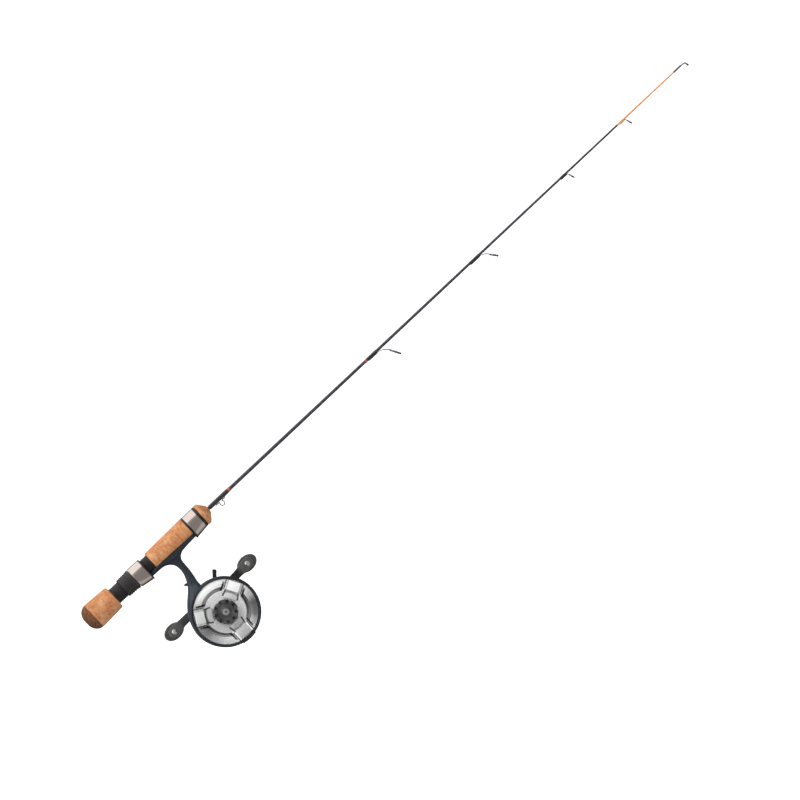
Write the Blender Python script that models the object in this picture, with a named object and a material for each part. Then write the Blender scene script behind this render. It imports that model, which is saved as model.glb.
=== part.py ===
"""Ice fishing rod with a geared inline reel, built as separate named parts.

Frame: metres, +Z up.  +X runs along the rod from the butt to the tip.  The origin is the centre of
the butt cap's flat end, on the rod's axis.  The reel hangs below (-Z); its spool opens towards -Y
and its crank is on +Y.  All sizes here are in millimetres; MM turns them into metres.
"Rear" on the handle is towards the butt.  On the reel, "front" is -Y and "rear" is +Y.
"""
import math
from collections import namedtuple

import bmesh
import bpy
from mathutils import Vector

MM = 0.001
SHARP_ANGLE = 35              # degrees; steeper edges are shaded sharp
MERGE_DISTANCE = 1e-5
WIRE_SIDES = 8
GAP = 0.12                    # seam between glued neighbours

# ---------------------------------------------------------------- driving sizes: handle, along X
CAP_END = 8.65
BUTT_END = 33.0
BARREL_R = 7.9                # thread crest
BARREL_CORE_R = 5.4           # under the cork
CORK_BORE = BARREL_CORE_R + 0.3
BLANK_BORE = 1.95
NUT_X0, NUT_X1 = 43.2, 56.1
REAR_HOOD_X0, REAR_HOOD_X1 = 56.4, 68.7
REAR_TRIM_X1 = 69.8
THREAD_END = 77.0
GRIP_X0, GRIP_X1 = 77.15, 120.05
FRONT_TRIM_X0, FRONT_HOOD_X0, FRONT_HOOD_X1, FRONT_TRIM_X1 = 120.2, 121.8, 133.3, 135.55
NOSE_X0, NOSE_X1 = 135.7, 144.4
FOOT_X0, FOOT_X1 = 60.0, 129.3
SADDLE_R = 8.3                # the reel foot's inner radius

# ---------------------------------------------------------------- driving sizes: reel
# Places on the reel are (x, z) pairs.
GEAR_MODULE = 0.6
PRESSURE_ANGLE = math.radians(20)
TOOTH_THINNING = 0.1          # taken off each tooth's width
MAIN_TEETH, PINION_TEETH = 40, 15
SPOOL = (94.3, -75.0)
CRANK = (SPOOL[0], SPOOL[1] + GEAR_MODULE * (MAIN_TEETH + PINION_TEETH) / 2)
TRIGGER = (SPOOL[0] + 10.9, SPOOL[1] + 23.1)
SWITCH = (89.6, -37.4)
RING_RO, RING_RI = 30.9, 28.9
RING_Y0, RING_Y1 = -10.6, -7.2
PLATE_Y0, PLATE_Y1 = 8.4, 10.2
CUP_Y1 = 17.4
CUP_RI = 29.4
COVER_Y0, COVER_Y1 = 17.55, 19.3
SCREW_CIRCLE_R = 26.9
SCREW_DEGREES = (-20, 130, 232)
LOWER_PILLAR_HALF = 13.6      # degrees either side of straight down
GUARD_START, GUARD_END = 3.0, 39.0      # degrees; 0 is +X, 90 is up
NOTCH_PLAY = 0.3              # degrees at each end of a fitted part
SPOKE_DEGREES = (30, 150, 270)
SPOKE_PITCH = 120
AXLE_R = 1.5
SHAFT_R = 2.5
SPOOL_BEARING_R, SPOOL_BEARING_BORE = 3.98, 1.66
BEARING_CHAMFER = 0.2
PIN_BORE_R = 1.02
CRANK_HALF = 43.1             # hub to knob axle
CRANK_THICKNESS = 1.9
CRANK_HUB_BORE = 2.75
KNOB_BORE = 1.65
KNOB_LENGTH, KNOB_WIDTH = 19.4, 13.8
KNOB_Y0, KNOB_Y1 = 29.3, 38.6

# ---------------------------------------------------------------- driving sizes: blank
# (x, radius)
BLANK = (
    (10.0, 1.70), (150.0, 1.66), (173.0, 1.58), (259.0, 1.44), (337.0, 1.30),
    (415.0, 1.17), (484.0, 1.06), (554.0, 0.94), (629.6, 0.78),
)
TIP = ((629.75, 0.76), (664.0, 0.68), (702.0, 0.58))
TIP_SEAM_X = 629.7


# ---------------------------------------------------------------- numbers and outlines
def smooth_step(t):
    t = max(0.0, min(1.0, t))
    return t * t * (3 - 2 * t)


def fade(angle, start, width):
    """1 near straight down, easing to 0 over `width` degrees from `start`; angle in radians."""
    return 1 - smooth_step((math.degrees(angle) - start) / width)


def interpolate(table, x):
    for (x0, y0), (x1, y1) in zip(table, table[1:]):
        if x <= x1:
            return y0 + (y1 - y0) * (x - x0) / (x1 - x0)
    return table[-1][1]


def blank_radius(x):
    return interpolate(BLANK if x < TIP_SEAM_X else TIP, x)


def turn(n):
    """n equally spaced angles round a full turn."""
    return [2 * math.pi * i / n for i in range(n)]


def polar(centre, radius, angle):
    return (centre[0] + radius * math.cos(angle), centre[1] + radius * math.sin(angle))


def arc(centre, radius, start, end, steps):
    """Points along an arc, its ends in degrees (0 is +X, 90 is up)."""
    return [polar(centre, radius, math.radians(start + (end - start) * k / steps))
            for k in range(steps + 1)]


def at(place):
    """An (x, z) place as a point on the plane y = 0."""
    return (place[0], 0, place[1])


# ---------------------------------------------------------------- solids, as bmeshes in mm
def bridge(bm, p, q, inward=False):
    """Quads between two closed rings of vertices."""
    for i in range(len(p)):
        j = (i + 1) % len(p)
        quad = (p[i], q[i], q[j], p[j]) if inward else (p[i], p[j], q[j], q[i])
        bm.faces.new(quad)


def revolve(profile, n, point):
    """A closed (along, radius) section turned round; point(along, cos, sin) places a vertex."""
    bm = bmesh.new()
    rings = []
    for along, r in profile:
        if r < 1e-9:
            rings.append([bm.verts.new(point(along, 0.0, 0.0))] * n)
            continue
        rings.append([bm.verts.new(point(along, r * math.cos(t), r * math.sin(t)))
                      for t in turn(n)])
    for p, q in zip(rings, rings[1:] + rings[:1]):
        for i in range(n):
            j = (i + 1) % n
            face = []
            for v in (p[i], p[j], q[j], q[i]):
                if v not in face:
                    face.append(v)
            if len(face) > 2:
                bm.faces.new(face)
    return bm


def lathe_x(profile, n):
    """Turned about the rod's axis; profile is (x, radius)."""
    return revolve(profile, n, lambda x, c, s: (x, c, s))


def lathe_y(profile, centre, n):
    """Turned about an axis along Y; profile is (y, radius)."""
    return revolve(profile, n, lambda y, c, s: (centre[0] + c, y, centre[1] + s))


def disc(y0, y1, radius, centre, n, bore=0.0, chamfer=0.0):
    """A plain or bored cylinder along Y, its outer edges chamfered if asked."""
    outer = [(y0, radius), (y1, radius)]
    if chamfer:
        outer = [(y0, radius - chamfer), (y0 + chamfer, radius),
                 (y1 - chamfer, radius), (y1, radius - chamfer)]
    return lathe_y(outer + [(y1, bore), (y0, bore)], centre, n)


def loft(stations):
    """A solid through closed rings of points of equal length, capped at both ends."""
    bm = bmesh.new()
    rings = [[bm.verts.new(p) for p in ring] for ring in stations]
    for p, q in zip(rings, rings[1:]):
        bridge(bm, p, q)
    bm.faces.new(rings[0][::-1])
    bm.faces.new(rings[-1])
    return bm


def shell(xs, outer, inner, n):
    """A sleeve round the rod's axis; its radii are functions of (x, angle from straight down)."""
    bm = bmesh.new()
    outside, inside = [], []
    for x in xs:
        for rings, radius_at in ((outside, outer), (inside, inner)):
            ring = []
            for t in turn(n):
                r = radius_at(x, abs((t + math.pi) % (2 * math.pi) - math.pi))
                ring.append(bm.verts.new((x, r * math.sin(t), -r * math.cos(t))))
            rings.append(ring)
    for k in range(len(xs) - 1):
        bridge(bm, outside[k], outside[k + 1])
        bridge(bm, inside[k], inside[k + 1], inward=True)
    for k in (0, -1):
        bridge(bm, outside[k], inside[k], inward=True)
    return bm


def prism(outline, y0, y1):
    """An (x, z) outline extruded along Y."""
    bm = bmesh.new()
    face = bm.faces.new([bm.verts.new((x, y0, z)) for x, z in outline])
    extruded = bmesh.ops.extrude_face_region(bm, geom=[face])
    for item in extruded["geom"]:
        if isinstance(item, bmesh.types.BMVert):
            item.co.y = y1
    return bm


def sector(r_in, r_out, start, end, y0, y1, steps):
    """Part of a ring about the spool's axis; start and end in degrees."""
    outer = arc(SPOOL, r_out, start, end, steps)
    inner = arc(SPOOL, r_in, start, end, steps)
    return prism(outer + inner[::-1], y0, y1)


def sweep(points, radii):
    """A round wire along a polyline, with a radius for each point."""
    points = [Vector(p) for p in points]
    last = len(points) - 1
    stations = []
    up = Vector((0, 1, 0))
    for i, (p, r) in enumerate(zip(points, radii)):
        ahead = (points[min(i + 1, last)] - points[max(i - 1, 0)]).normalized()
        side = up.cross(ahead)
        if side.length < 1e-6:
            side = Vector((1, 0, 0)).cross(ahead)
        side.normalize()
        up = ahead.cross(side).normalized()
        stations.append([p + r * (side * math.cos(t) + up * math.sin(t))
                         for t in turn(WIRE_SIDES)])
    return loft(stations)


def leaning_axes(lean):
    """For a line ring leaning by `lean` degrees: away from the rod in its plane, and its axis."""
    a = math.radians(lean)
    return Vector((math.sin(a), 0, -math.cos(a))), Vector((math.cos(a), 0, math.sin(a)))


def leaning_ring(centre, lean, half_section, n):
    """A leaning ring.  half_section is three (half width, radius) pairs, outside to inside."""
    down, normal = leaning_axes(lean)
    (h0, r0), (h1, r1), (h2, r2) = half_section
    bm = bmesh.new()
    rings = []
    for h, r in ((-h0, r0), (h0, r0), (h1, r1), (h2, r2), (-h2, r2), (-h1, r1)):
        rings.append([bm.verts.new(centre + normal * h
                                   + r * (down * math.cos(t) + Vector((0, 1, 0)) * math.sin(t)))
                      for t in turn(n)])
    for p, q in zip(rings, rings[1:] + rings[:1]):
        bridge(bm, p, q)
    return bm


# ---------------------------------------------------------------- scene and objects
def clear_scene():
    for ob in list(bpy.data.objects):
        bpy.data.objects.remove(ob, do_unlink=True)
    for blocks in (bpy.data.meshes, bpy.data.materials, bpy.data.curves):
        for block in list(blocks):
            blocks.remove(block)


def material(name, colour, rough, metal=0.0):
    mat = bpy.data.materials.new(name)
    mat.use_nodes = True
    shader = mat.node_tree.nodes["Principled BSDF"]
    shader.inputs["Base Color"].default_value = (*colour, 1)
    shader.inputs["Roughness"].default_value = rough
    shader.inputs["Metallic"].default_value = metal
    mat.diffuse_color = (*colour, 1)
    return mat


def make(name, bm, mat, origin=(0, 0, 0)):
    """An object from a bmesh in mm in the rod's frame; the object's own origin goes to `origin`."""
    bmesh.ops.remove_doubles(bm, verts=bm.verts, dist=MERGE_DISTANCE)
    bmesh.ops.recalc_face_normals(bm, faces=bm.faces)
    offset = Vector(origin)
    for v in bm.verts:
        v.co = (v.co - offset) * MM
    mesh = bpy.data.meshes.new(name)
    bm.to_mesh(mesh)
    bm.free()
    mesh.shade_smooth()
    mesh.set_sharp_from_angle(angle=math.radians(SHARP_ANGLE))
    ob = bpy.data.objects.new(name, mesh)
    bpy.context.scene.collection.objects.link(ob)
    ob.location = offset * MM
    mesh.materials.append(mat)
    return ob


def helper(name, bm):
    """A cutter or a joined-in shape, not a part of its own."""
    ob = make(name, bm, HELPER)
    ob.hide_render = True
    ob.display_type = "WIRE"
    return ob


def boolean(ob, other, operation):
    modifier = ob.modifiers.new(other.name, "BOOLEAN")
    modifier.operation = operation
    modifier.solver = "EXACT"
    modifier.object = other


def add(ob, name, bm):
    boolean(ob, helper(name, bm), "UNION")


def cut(ob, name, bm):
    boolean(ob, helper(name, bm), "DIFFERENCE")


clear_scene()
HELPER = material("helper", (0.5, 0.5, 0.5), rough=0.5)
CORK = material("cork", (0.62, 0.36, 0.18), rough=0.75)
DARK_CORK = material("dark_cork", (0.22, 0.11, 0.055), rough=0.8)
BLACK = material("black_plastic", (0.025, 0.024, 0.026), rough=0.45)
SILVER = material("silver_metal", (0.62, 0.58, 0.56), rough=0.22, metal=1.0)
CARBON = material("carbon", (0.03, 0.032, 0.045), rough=0.25)
ORANGE = material("orange_tip", (0.95, 0.28, 0.06), rough=0.35)
RED = material("red_band", (0.75, 0.12, 0.05), rough=0.3)
THREAD = material("black_wrap", (0.02, 0.02, 0.022), rough=0.18)
WIRE = material("guide_metal", (0.10, 0.10, 0.11), rough=0.25, metal=1.0)
CERAMIC = material("guide_ceramic", (0.03, 0.03, 0.03), rough=0.12)
STEEL = material("steel", (0.65, 0.65, 0.66), rough=0.25, metal=1.0)
BRASS = material("brass", (0.75, 0.52, 0.2), rough=0.3, metal=1.0)
FRAME = material("frame_blue", (0.045, 0.065, 0.09), rough=0.42, metal=0.3)
CHROME = material("spool_alloy", (0.86, 0.86, 0.86), rough=0.14, metal=1.0)
GREY = material("crank_grey", (0.16, 0.16, 0.165), rough=0.4, metal=0.6)
KNOB = material("knob_grey", (0.07, 0.07, 0.072), rough=0.55)

# ---------------------------------------------------------------- handle: turned parts
# Profiles are (x, radius).
BARREL_X0, BARREL_X1 = 12.8, 140.0
BARREL_NOSE_R = BARREL_CORE_R - 0.9
BARREL_FRONT_X1 = FRONT_HOOD_X1 - 2 * GAP
BUTT_COUNTERBORE_X = 12.3
BUTT_BORE = 2.1
NOSE_COUNTERBORE_X = 140.3
NUT_BORE = 8.25

CAP_PROFILE = [
    (0, 0), (0, 4.0), (0.9, 6.6), (2.2, 8.8), (4.0, 10.55), (6.2, 11.75),
    (CAP_END - GAP, 12.25), (CAP_END - GAP, 0),
]
BUTT_GRIP_PROFILE = [
    (CAP_END, 12.28), (12, 12.3), (22, 11.8), (31.2, 11.25), (32.6, 10.9), (BUTT_END, 10.2),
    (BUTT_END, CORK_BORE), (BUTT_COUNTERBORE_X, CORK_BORE),
    (BUTT_COUNTERBORE_X, BUTT_BORE), (CAP_END, BUTT_BORE),
]
# Full radius under the rear fittings and the front hood, core radius under the cork
BARREL_PROFILE = [
    (BARREL_X0, BARREL_CORE_R), (BUTT_END + GAP, BARREL_CORE_R),
    (BUTT_END + GAP, BARREL_R), (THREAD_END, BARREL_R),
    (THREAD_END, BARREL_CORE_R), (GRIP_X1 + GAP, BARREL_CORE_R),
    (GRIP_X1 + GAP, BARREL_R), (BARREL_FRONT_X1, BARREL_R),
    (BARREL_FRONT_X1, BARREL_CORE_R), (BARREL_X1, BARREL_NOSE_R),
    (BARREL_X1, BLANK_BORE), (BARREL_X0, BLANK_BORE),
]
NUT_PROFILE = [
    (NUT_X0, 8.9), (NUT_X0 + 0.8, 9.3), (50, 9.5), (NUT_X1, 9.65),
    (NUT_X1, NUT_BORE), (NUT_X0, NUT_BORE),
]
NOSE_PROFILE = [
    (NOSE_X0, 10.0), (NOSE_X0 + 0.5, 10.4), (138.4, 10.4), (139.2, 10.0), (142.3, 5.9),
    (143.3, 4.6), (NOSE_X1, 3.2), (NOSE_X1, BLANK_BORE),
    (NOSE_COUNTERBORE_X, BLANK_BORE), (NOSE_COUNTERBORE_X, CORK_BORE), (NOSE_X0, CORK_BORE),
]
make("butt_cap", lathe_x(CAP_PROFILE, 28), DARK_CORK)
make("butt_grip", lathe_x(BUTT_GRIP_PROFILE, 28), CORK)
make("seat_barrel", lathe_x(BARREL_PROFILE, 28), BLACK)
make("seat_nut", lathe_x(NUT_PROFILE, 28), BLACK, origin=(NUT_X0, 0, 0))
make("nose_grip", lathe_x(NOSE_PROFILE, 28), CORK)

# ---------------------------------------------------------------- handle: hoods and grooved grip
POCKET_DEPTH = 1.95           # room for the reel foot's end under each hood
REAR_POCKET_X, FRONT_POCKET_X = 58.7, 129.6      # where the pockets' end steps start
POCKET_STEP = 1.1
GROOVE_R = 8.1                # the grip's flattened underside, where the foot lies


def foot_pocket(angle):
    return fade(angle, start=41, width=19)


def bulge(angle):
    """How much of a hood's extra depth shows at this angle."""
    return fade(angle, start=34, width=42)


def rear_outer(x, angle):
    t = (x - REAR_HOOD_X0) / (REAR_TRIM_X1 - REAR_HOOD_X0)
    rise = smooth_step((x - REAR_HOOD_X0 + 1.2) / 3.2)
    return 9.62 + (0.5 + 2.25 * t) * bulge(angle) * rise


def rear_inner(x, angle):
    step = smooth_step((x - REAR_POCKET_X) / POCKET_STEP)
    return 8.3 + POCKET_DEPTH * foot_pocket(angle) * step


def front_outer(x, angle):
    t = (FRONT_TRIM_X1 - x) / (FRONT_TRIM_X1 - FRONT_TRIM_X0)
    return 10.15 + (0.05 + 1.75 * t) * bulge(angle)


def front_inner(x, angle):
    step = 1 - smooth_step((x - FRONT_POCKET_X) / POCKET_STEP)
    return 8.2 + POCKET_DEPTH * foot_pocket(angle) * step


def grip_outer(x, angle):
    r = 9.35 + 0.95 * (x - GRIP_X0) / (GRIP_X1 - GRIP_X0)
    return r + (GROOVE_R - r) * fade(angle, start=49.3, width=3.0)


REAR_HOOD_XS = [REAR_HOOD_X0, 56.9, 57.8, 58.7, 59.25, 59.8, 62.5, 65.6, REAR_HOOD_X1 - GAP]
FRONT_HOOD_XS = [FRONT_HOOD_X0, 125.0, 128.2, 129.6, 130.15, 130.7, FRONT_HOOD_X1 - GAP]
make("rear_hood", shell(REAR_HOOD_XS, rear_outer, rear_inner, 32), SILVER,
     origin=(REAR_HOOD_X0, 0, 0))
make("rear_hood_trim", shell([REAR_HOOD_X1, REAR_TRIM_X1],
                             lambda x, angle: rear_outer(x, angle) - 0.02, rear_inner, 32),
     BLACK, origin=(REAR_HOOD_X0, 0, 0))
make("mid_grip", shell([GRIP_X0, 88, 98, 109, GRIP_X1],
                       grip_outer, lambda x, angle: CORK_BORE, 60), CORK)
make("front_hood_rear_trim", shell([FRONT_TRIM_X0, FRONT_HOOD_X0 - GAP],
                                   lambda x, angle: front_outer(x, angle) + 0.06,
                                   front_inner, 32), BLACK)
make("front_hood", shell(FRONT_HOOD_XS, front_outer, front_inner, 32), SILVER)
make("front_hood_front_trim", shell([FRONT_HOOD_X1, FRONT_TRIM_X1 - GAP],
                                    lambda x, angle: 10.25, lambda x, angle: 5.7, 28), BLACK)


# ---------------------------------------------------------------- blank, hook keeper, bands
def rod_section(name, table, n, mat):
    """A solid taper, closed on the axis at both ends."""
    make(name, lathe_x([(table[0][0], 0.0), *table, (table[-1][0], 0.0)], n), mat)


def band(name, x0, x1, outer, inner):
    make(name, lathe_x([(x0, outer), (x1, outer), (x1, inner), (x0, inner)], 20), RED)


def hook_keeper():
    """A wire with both ends along the blank and a round loop hanging between them."""
    wire_r, wire_z = 0.38, -2.62
    loop = arc((156.6, -4.75), 2.05, 125, 415, 12)
    path = [(151.2, wire_z), (154.4, wire_z), *loop, (158.8, wire_z), (162.0, wire_z)]
    make("hook_keeper", sweep([at(p) for p in path], [wire_r] * len(path)), STEEL)


KEEPER_WRAP_PROFILE = [(145.6, 2.05), (149, 2.1), (166.6, 1.98), (167.3, 1.85),
                       (167.3, 1.78), (145.6, 1.78)]
rod_section("blank", BLANK, 16, CARBON)
rod_section("tip_section", TIP, 14, ORANGE)
make("keeper_wrap", lathe_x(KEEPER_WRAP_PROFILE, 20), THREAD)
band("keeper_band", 167.5, 169.7, outer=1.95, inner=1.7)
band("guide_1_band", 329.6, 332.1, outer=1.66, inner=1.42)
hook_keeper()

# ---------------------------------------------------------------- line guides
# x, z: ring centre; lean in degrees; blank_r: the blank's radius that sets the foot's height
Guide = namedtuple("Guide", "name x z diameter lean wrap_x0 wrap_x1 foot_x0 blank_r wrap_mat")
GUIDES = (
    Guide("guide_1", 355.2, -11.7, 10.8, 28.6, 332.4, 343.6, 334.5, 1.30, THREAD),
    Guide("guide_2", 474.7, -9.1, 7.8, 37.6, 454.0, 465.4, 455.6, 1.08, THREAD),
    Guide("guide_3", 570.6, -5.3, 5.3, 18.0, 561.6, 568.6, 562.8, 0.92, THREAD),
    Guide("guide_4", 639.1, -5.2, 5.0, 15.0, 631.0, 637.2, 632.0, 0.72, ORANGE),
)
# wall: metal ring; half: half its width; ceramic: metal bore to ceramic bore; n: segments
RingSizes = namedtuple("RingSizes", "wall half ceramic n")
LARGE_RING = RingSizes(wall=0.62, half=0.8, ceramic=0.85, n=22)
SMALL_RING = RingSizes(wall=0.42, half=0.62, ceramic=0.55, n=16)
LARGE_RING_OVER = 7           # diameter
FOOT_LIFT = 0.12              # blank to foot wire
FOOT_WIRE_R = 0.20
FOOT_PROUD = FOOT_LIFT + FOOT_WIRE_R * 2 + 0.12
PRESS_FIT = 0.06              # ceramic inside the metal ring


def guide_strut(g, top, normal):
    """The wire along the blank that curves down to the top of the ring."""
    foot_z = -(g.blank_r + FOOT_LIFT + FOOT_WIRE_R)
    leave_x = g.wrap_x1 - 0.2
    reach = top.x - leave_x
    p0 = Vector((leave_x, 0, foot_z))
    p1 = Vector((leave_x + reach * 0.55, 0, foot_z))
    p2 = top - normal * (0.3 * reach) * 0.2 + Vector((0, 0, 0.28 * (foot_z - top.z)))
    path = [Vector((g.foot_x0, 0, foot_z)), Vector((g.foot_x0 + 1.5, 0, foot_z))]
    radii = [0.14, FOOT_WIRE_R]
    steps = 7
    for k in range(steps + 1):
        t = k / steps
        u = 1 - t
        path.append(p0 * u ** 3 + p1 * 3 * t * u ** 2 + p2 * 3 * t * t * u + top * t ** 3)
        radii.append(FOOT_WIRE_R + 0.20 * smooth_step(2.5 * t))
    return sweep(path, radii)


def guide_wrap(g):
    """Thread round the blank, raised over the foot below it."""
    def lump(angle):
        return fade(angle, start=22, width=45)

    def over_foot(x, before_foot):
        return 1 if x > g.foot_x0 - 0.9 else before_foot

    def outer(x, angle):
        taper = (smooth_step((x - g.wrap_x0) / 1.6 + 0.25)
                 * (1 - 0.35 * smooth_step(x - g.wrap_x1 + 1.0)))
        raised = (FOOT_PROUD - 0.02) * lump(angle) * over_foot(x, 0.45)
        return blank_radius(x) + 0.16 + 0.07 * taper + raised

    def inner(x, angle):
        return blank_radius(x) + 0.09 + (FOOT_PROUD - 0.14) * lump(angle) * over_foot(x, 0.3)

    xs = [g.wrap_x0, g.wrap_x0 + 0.8, g.wrap_x0 + 1.8, g.wrap_x1 - 1.0, g.wrap_x1]
    make(g.name + "_wrap", shell(xs, outer, inner, 16), g.wrap_mat)


def guide(g):
    """A single-foot line guide: metal frame, pressed-in ceramic ring, and the wrap on its foot."""
    size = LARGE_RING if g.diameter > LARGE_RING_OVER else SMALL_RING
    wall, half = size.wall, size.half
    r_out = g.diameter / 2
    r_in = r_out - wall
    centre = Vector((g.x, 0, g.z))
    down, normal = leaning_axes(g.lean)

    metal = ((half * 0.6, r_out), (half, r_out - wall * 0.45), (half * 0.8, r_in))
    frame = make(g.name + "_frame", leaning_ring(centre, g.lean, metal, size.n), WIRE)
    top = centre - down * (r_out - wall * 0.4)
    add(frame, g.name + "_strut", guide_strut(g, top, normal))

    seat, bore = r_in - PRESS_FIT, r_in - size.ceramic
    ceramic = ((half * 0.7, seat), (half * 0.95, (seat + bore) / 2), (half * 0.35, bore))
    make(g.name + "_ring", leaning_ring(centre, g.lean, ceramic, size.n), CERAMIC)
    guide_wrap(g)


def tip_top():
    """The end guide: a tube over the tip, two arms, and a leaning ring with a ceramic liner."""
    tube = [(696.2, 0.92), (704.6, 0.92), (705.4, 0.75), (705.4, 0.0), (702.4, 0.0),
            (702.4, 0.70), (696.2, 0.70)]
    centre, lean = Vector((709.4, 0, -2.6)), 15
    loop_r, arm_r, arm_angle = 2.05, 0.36, math.radians(38)
    frame = make("tip_top_frame", lathe_x(tube, 16), WIRE)
    metal = ((0.5, 2.3), (0.68, loop_r), (0.5, 1.82))
    add(frame, "tip_loop", leaning_ring(centre, lean, metal, 20))
    down, _ = leaning_axes(lean)
    for side in (-1, 1):
        end = (centre - down * loop_r * math.cos(arm_angle)
               + Vector((0, side * loop_r * math.sin(arm_angle), 0)))
        path = [(703.6, side * 0.35, 0.0), (705.6, side * 0.6, -0.05),
                (707.6, side * 0.95, -0.45), end]
        add(frame, f"tip_arm_{side}", sweep(path, [arm_r] * len(path)))
    ceramic = ((0.3, 1.76), (0.42, 1.5), (0.16, 1.22))
    make("tip_top_ring", leaning_ring(centre, lean, ceramic, 20), CERAMIC)


for g in GUIDES:
    guide(g)
tip_top()

# ---------------------------------------------------------------- reel frame, one casting
# How far below the rod's axis the foot reaches: (x, radius)
FOOT_BOTTOM = (
    (60.0, 9.35), (64, 9.7), (72, 9.85), (80, 10.1), (85, 10.9), (89, 12.3), (94, 13.4),
    (99, 12.3), (104, 11.2), (112, 10.5), (122, 10.0), (127, 9.75), (129.3, 9.4),
)
FOOT_XS = (FOOT_X0, 60.8, 62.4, 65, 69.5, 74, 78, 82, 86, 90, 94.3, 98, 102, 107, 113, 118,
           123, 126.8, 128.6, FOOT_X1)
# Rounded sections down the stem: (z, x min, x max, y min, y max)
STEM = (
    (-9.4, 80.5, 107.6, -4.8, 4.8), (-10.4, 82.6, 104.9, -4.5, 4.5),
    (-12.0, 85.7, 101.6, -4.1, 4.1), (-13.8, 87.9, 99.1, -3.9, 3.9),
    (-16.6, 89.9, 97.4, -3.8, 3.8), (-21.6, 90.7, 97.0, -3.8, 3.8),
    (-26.0, 90.3, 96.8, -3.9, 4.0), (-30.3, 88.9, 96.4, -4.1, 4.4),
    (-34.6, 86.8, 95.7, -4.6, 5.2), (-38.9, 83.8, 94.9, -5.6, 6.4),
    (-43.0, 79.6, 94.7, -7.6, 8.2), (-47.0, 75.4, 93.8, -9.2, 9.6),
    (-51.5, 71.4, 91.0, -9.4, 10.0), (-56.5, 67.9, 86.0, -9.4, 10.0),
    (-61.5, 65.6, 82.0, -9.4, 10.0), (-66.5, 64.3, 79.0, -9.3, 10.0),
    (-71.5, 63.6, 76.0, -8.6, 10.0),
)
SCREWS = [polar(SPOOL, SCREW_CIRCLE_R, math.radians(d)) for d in SCREW_DEGREES]


def foot_section(x):
    """The saddle's arc and back along the underside, which thins towards its edges."""
    from_end = min(x - FOOT_X0, FOOT_X1 - x)
    half = math.radians(20 + 17 * smooth_step(from_end / 4.0)
                        + 9 * smooth_step((from_end - 8) / 8.0))
    steps = 6
    angles = [-half + 2 * half * i / steps for i in range(steps + 1)]
    bottom = interpolate(FOOT_BOTTOM, x)
    ring = [(x, SADDLE_R * math.sin(t), -SADDLE_R * math.cos(t)) for t in angles]
    for t in reversed(angles):
        r = bottom + (SADDLE_R + 0.9 - bottom) * (abs(t) / half) ** 3
        ring.append((x, r * math.sin(t), -r * math.cos(t)))
    return ring


def stem_section(z, x0, x1, y0, y1):
    """A superellipse between plain ellipse and rectangle."""
    squareness = 0.55

    def spread(value):
        return math.copysign(abs(value) ** squareness, value)

    return [((x0 + x1) / 2 + (x1 - x0) / 2 * spread(math.cos(t)),
             (y0 + y1) / 2 + (y1 - y0) / 2 * spread(math.sin(t)), z) for t in turn(20)]


def stem():
    """The stem, trimmed to the foot's saddle and clear of the spool."""
    room_r, room_y1 = RING_RI + 0.33, PLATE_Y0 + 0.4
    shape = helper("stem_shape", loft([stem_section(*s) for s in STEM]))
    cut(shape, "saddle_cut", lathe_x([(50, 0), (50, SADDLE_R), (140, SADDLE_R), (140, 0)], 72))
    cut(shape, "spool_room", disc(-12.0, room_y1, room_r, SPOOL, 60))
    return shape


def reel_frame():
    frame = make("reel_frame", loft([foot_section(x) for x in FOOT_XS]), FRAME,
                 origin=at(SPOOL))
    boolean(frame, stem(), "UNION")
    ring = [(RING_Y0, RING_RI), (RING_Y0, RING_RO - 0.5), (RING_Y0 + 0.5, RING_RO),
            (RING_Y1 - 0.3, RING_RO), (RING_Y1, RING_RO - 0.3), (RING_Y1, RING_RI)]
    add(frame, "front_ring", lathe_y(ring, SPOOL, 48))
    # Back plate with the gear cup's wall
    cup = [(PLATE_Y0, 0), (PLATE_Y0, RING_RO - 0.4), (PLATE_Y0 + 0.4, RING_RO),
           (CUP_Y1, RING_RO), (CUP_Y1, CUP_RI), (PLATE_Y1, CUP_RI), (PLATE_Y1, 0)]
    add(frame, "gear_cup", lathe_y(cup, SPOOL, 48))
    add(frame, "front_pillar", sector(RING_RI + 0.15, RING_RO - 0.15, -12, 1.5,
                                      RING_Y0 + 1.0, PLATE_Y0 + 0.8, 4))
    for i, place in enumerate(SCREWS):
        add(frame, f"screw_boss_{i}", disc(PLATE_Y1 - 0.5, CUP_Y1, 2.6, place, 16))

    # Spool and crank bores through the back plate
    for i, (place, radius) in enumerate(((SPOOL, 4.4), (CRANK, 3.9))):
        cut(frame, f"frame_bore_{i}", disc(PLATE_Y0 - 1, PLATE_Y1 + 1, radius, place, 24))
    for i, place in enumerate(SCREWS):
        cut(frame, f"screw_hole_{i}", disc(11.4, CUP_Y1 + 1, 1.05, place, 14))
    # Notches for the lower pillar and the line guard
    notch_half = LOWER_PILLAR_HALF + NOTCH_PLAY
    cut(frame, "lower_notch", sector(27.0, 33.0, 270 - notch_half, 270 + notch_half,
                                     RING_Y0 - 1, PLATE_Y0 + 0.9, 6))
    cut(frame, "guard_notch", sector(27.0, 33.0, GUARD_START - NOTCH_PLAY,
                                     GUARD_END + NOTCH_PLAY, RING_Y0 - 1, RING_Y1 + 1, 8))
    # Openings for the trigger and the switch
    cut(frame, "trigger_slot", sector(28.0, 32.0, 54.5, 78.5, 14.4, CUP_Y1 + 1, 5))
    cut(frame, "switch_seat", disc(5.55, 12.0, PIN_BORE_R, SWITCH, 16))
    flat = [(80.5, -32.6), (93.4, -32.6), (93.4, -41.8), (80.5, -41.8)]
    cut(frame, "switch_flat", prism(flat, 5.0, 12.0))


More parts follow.
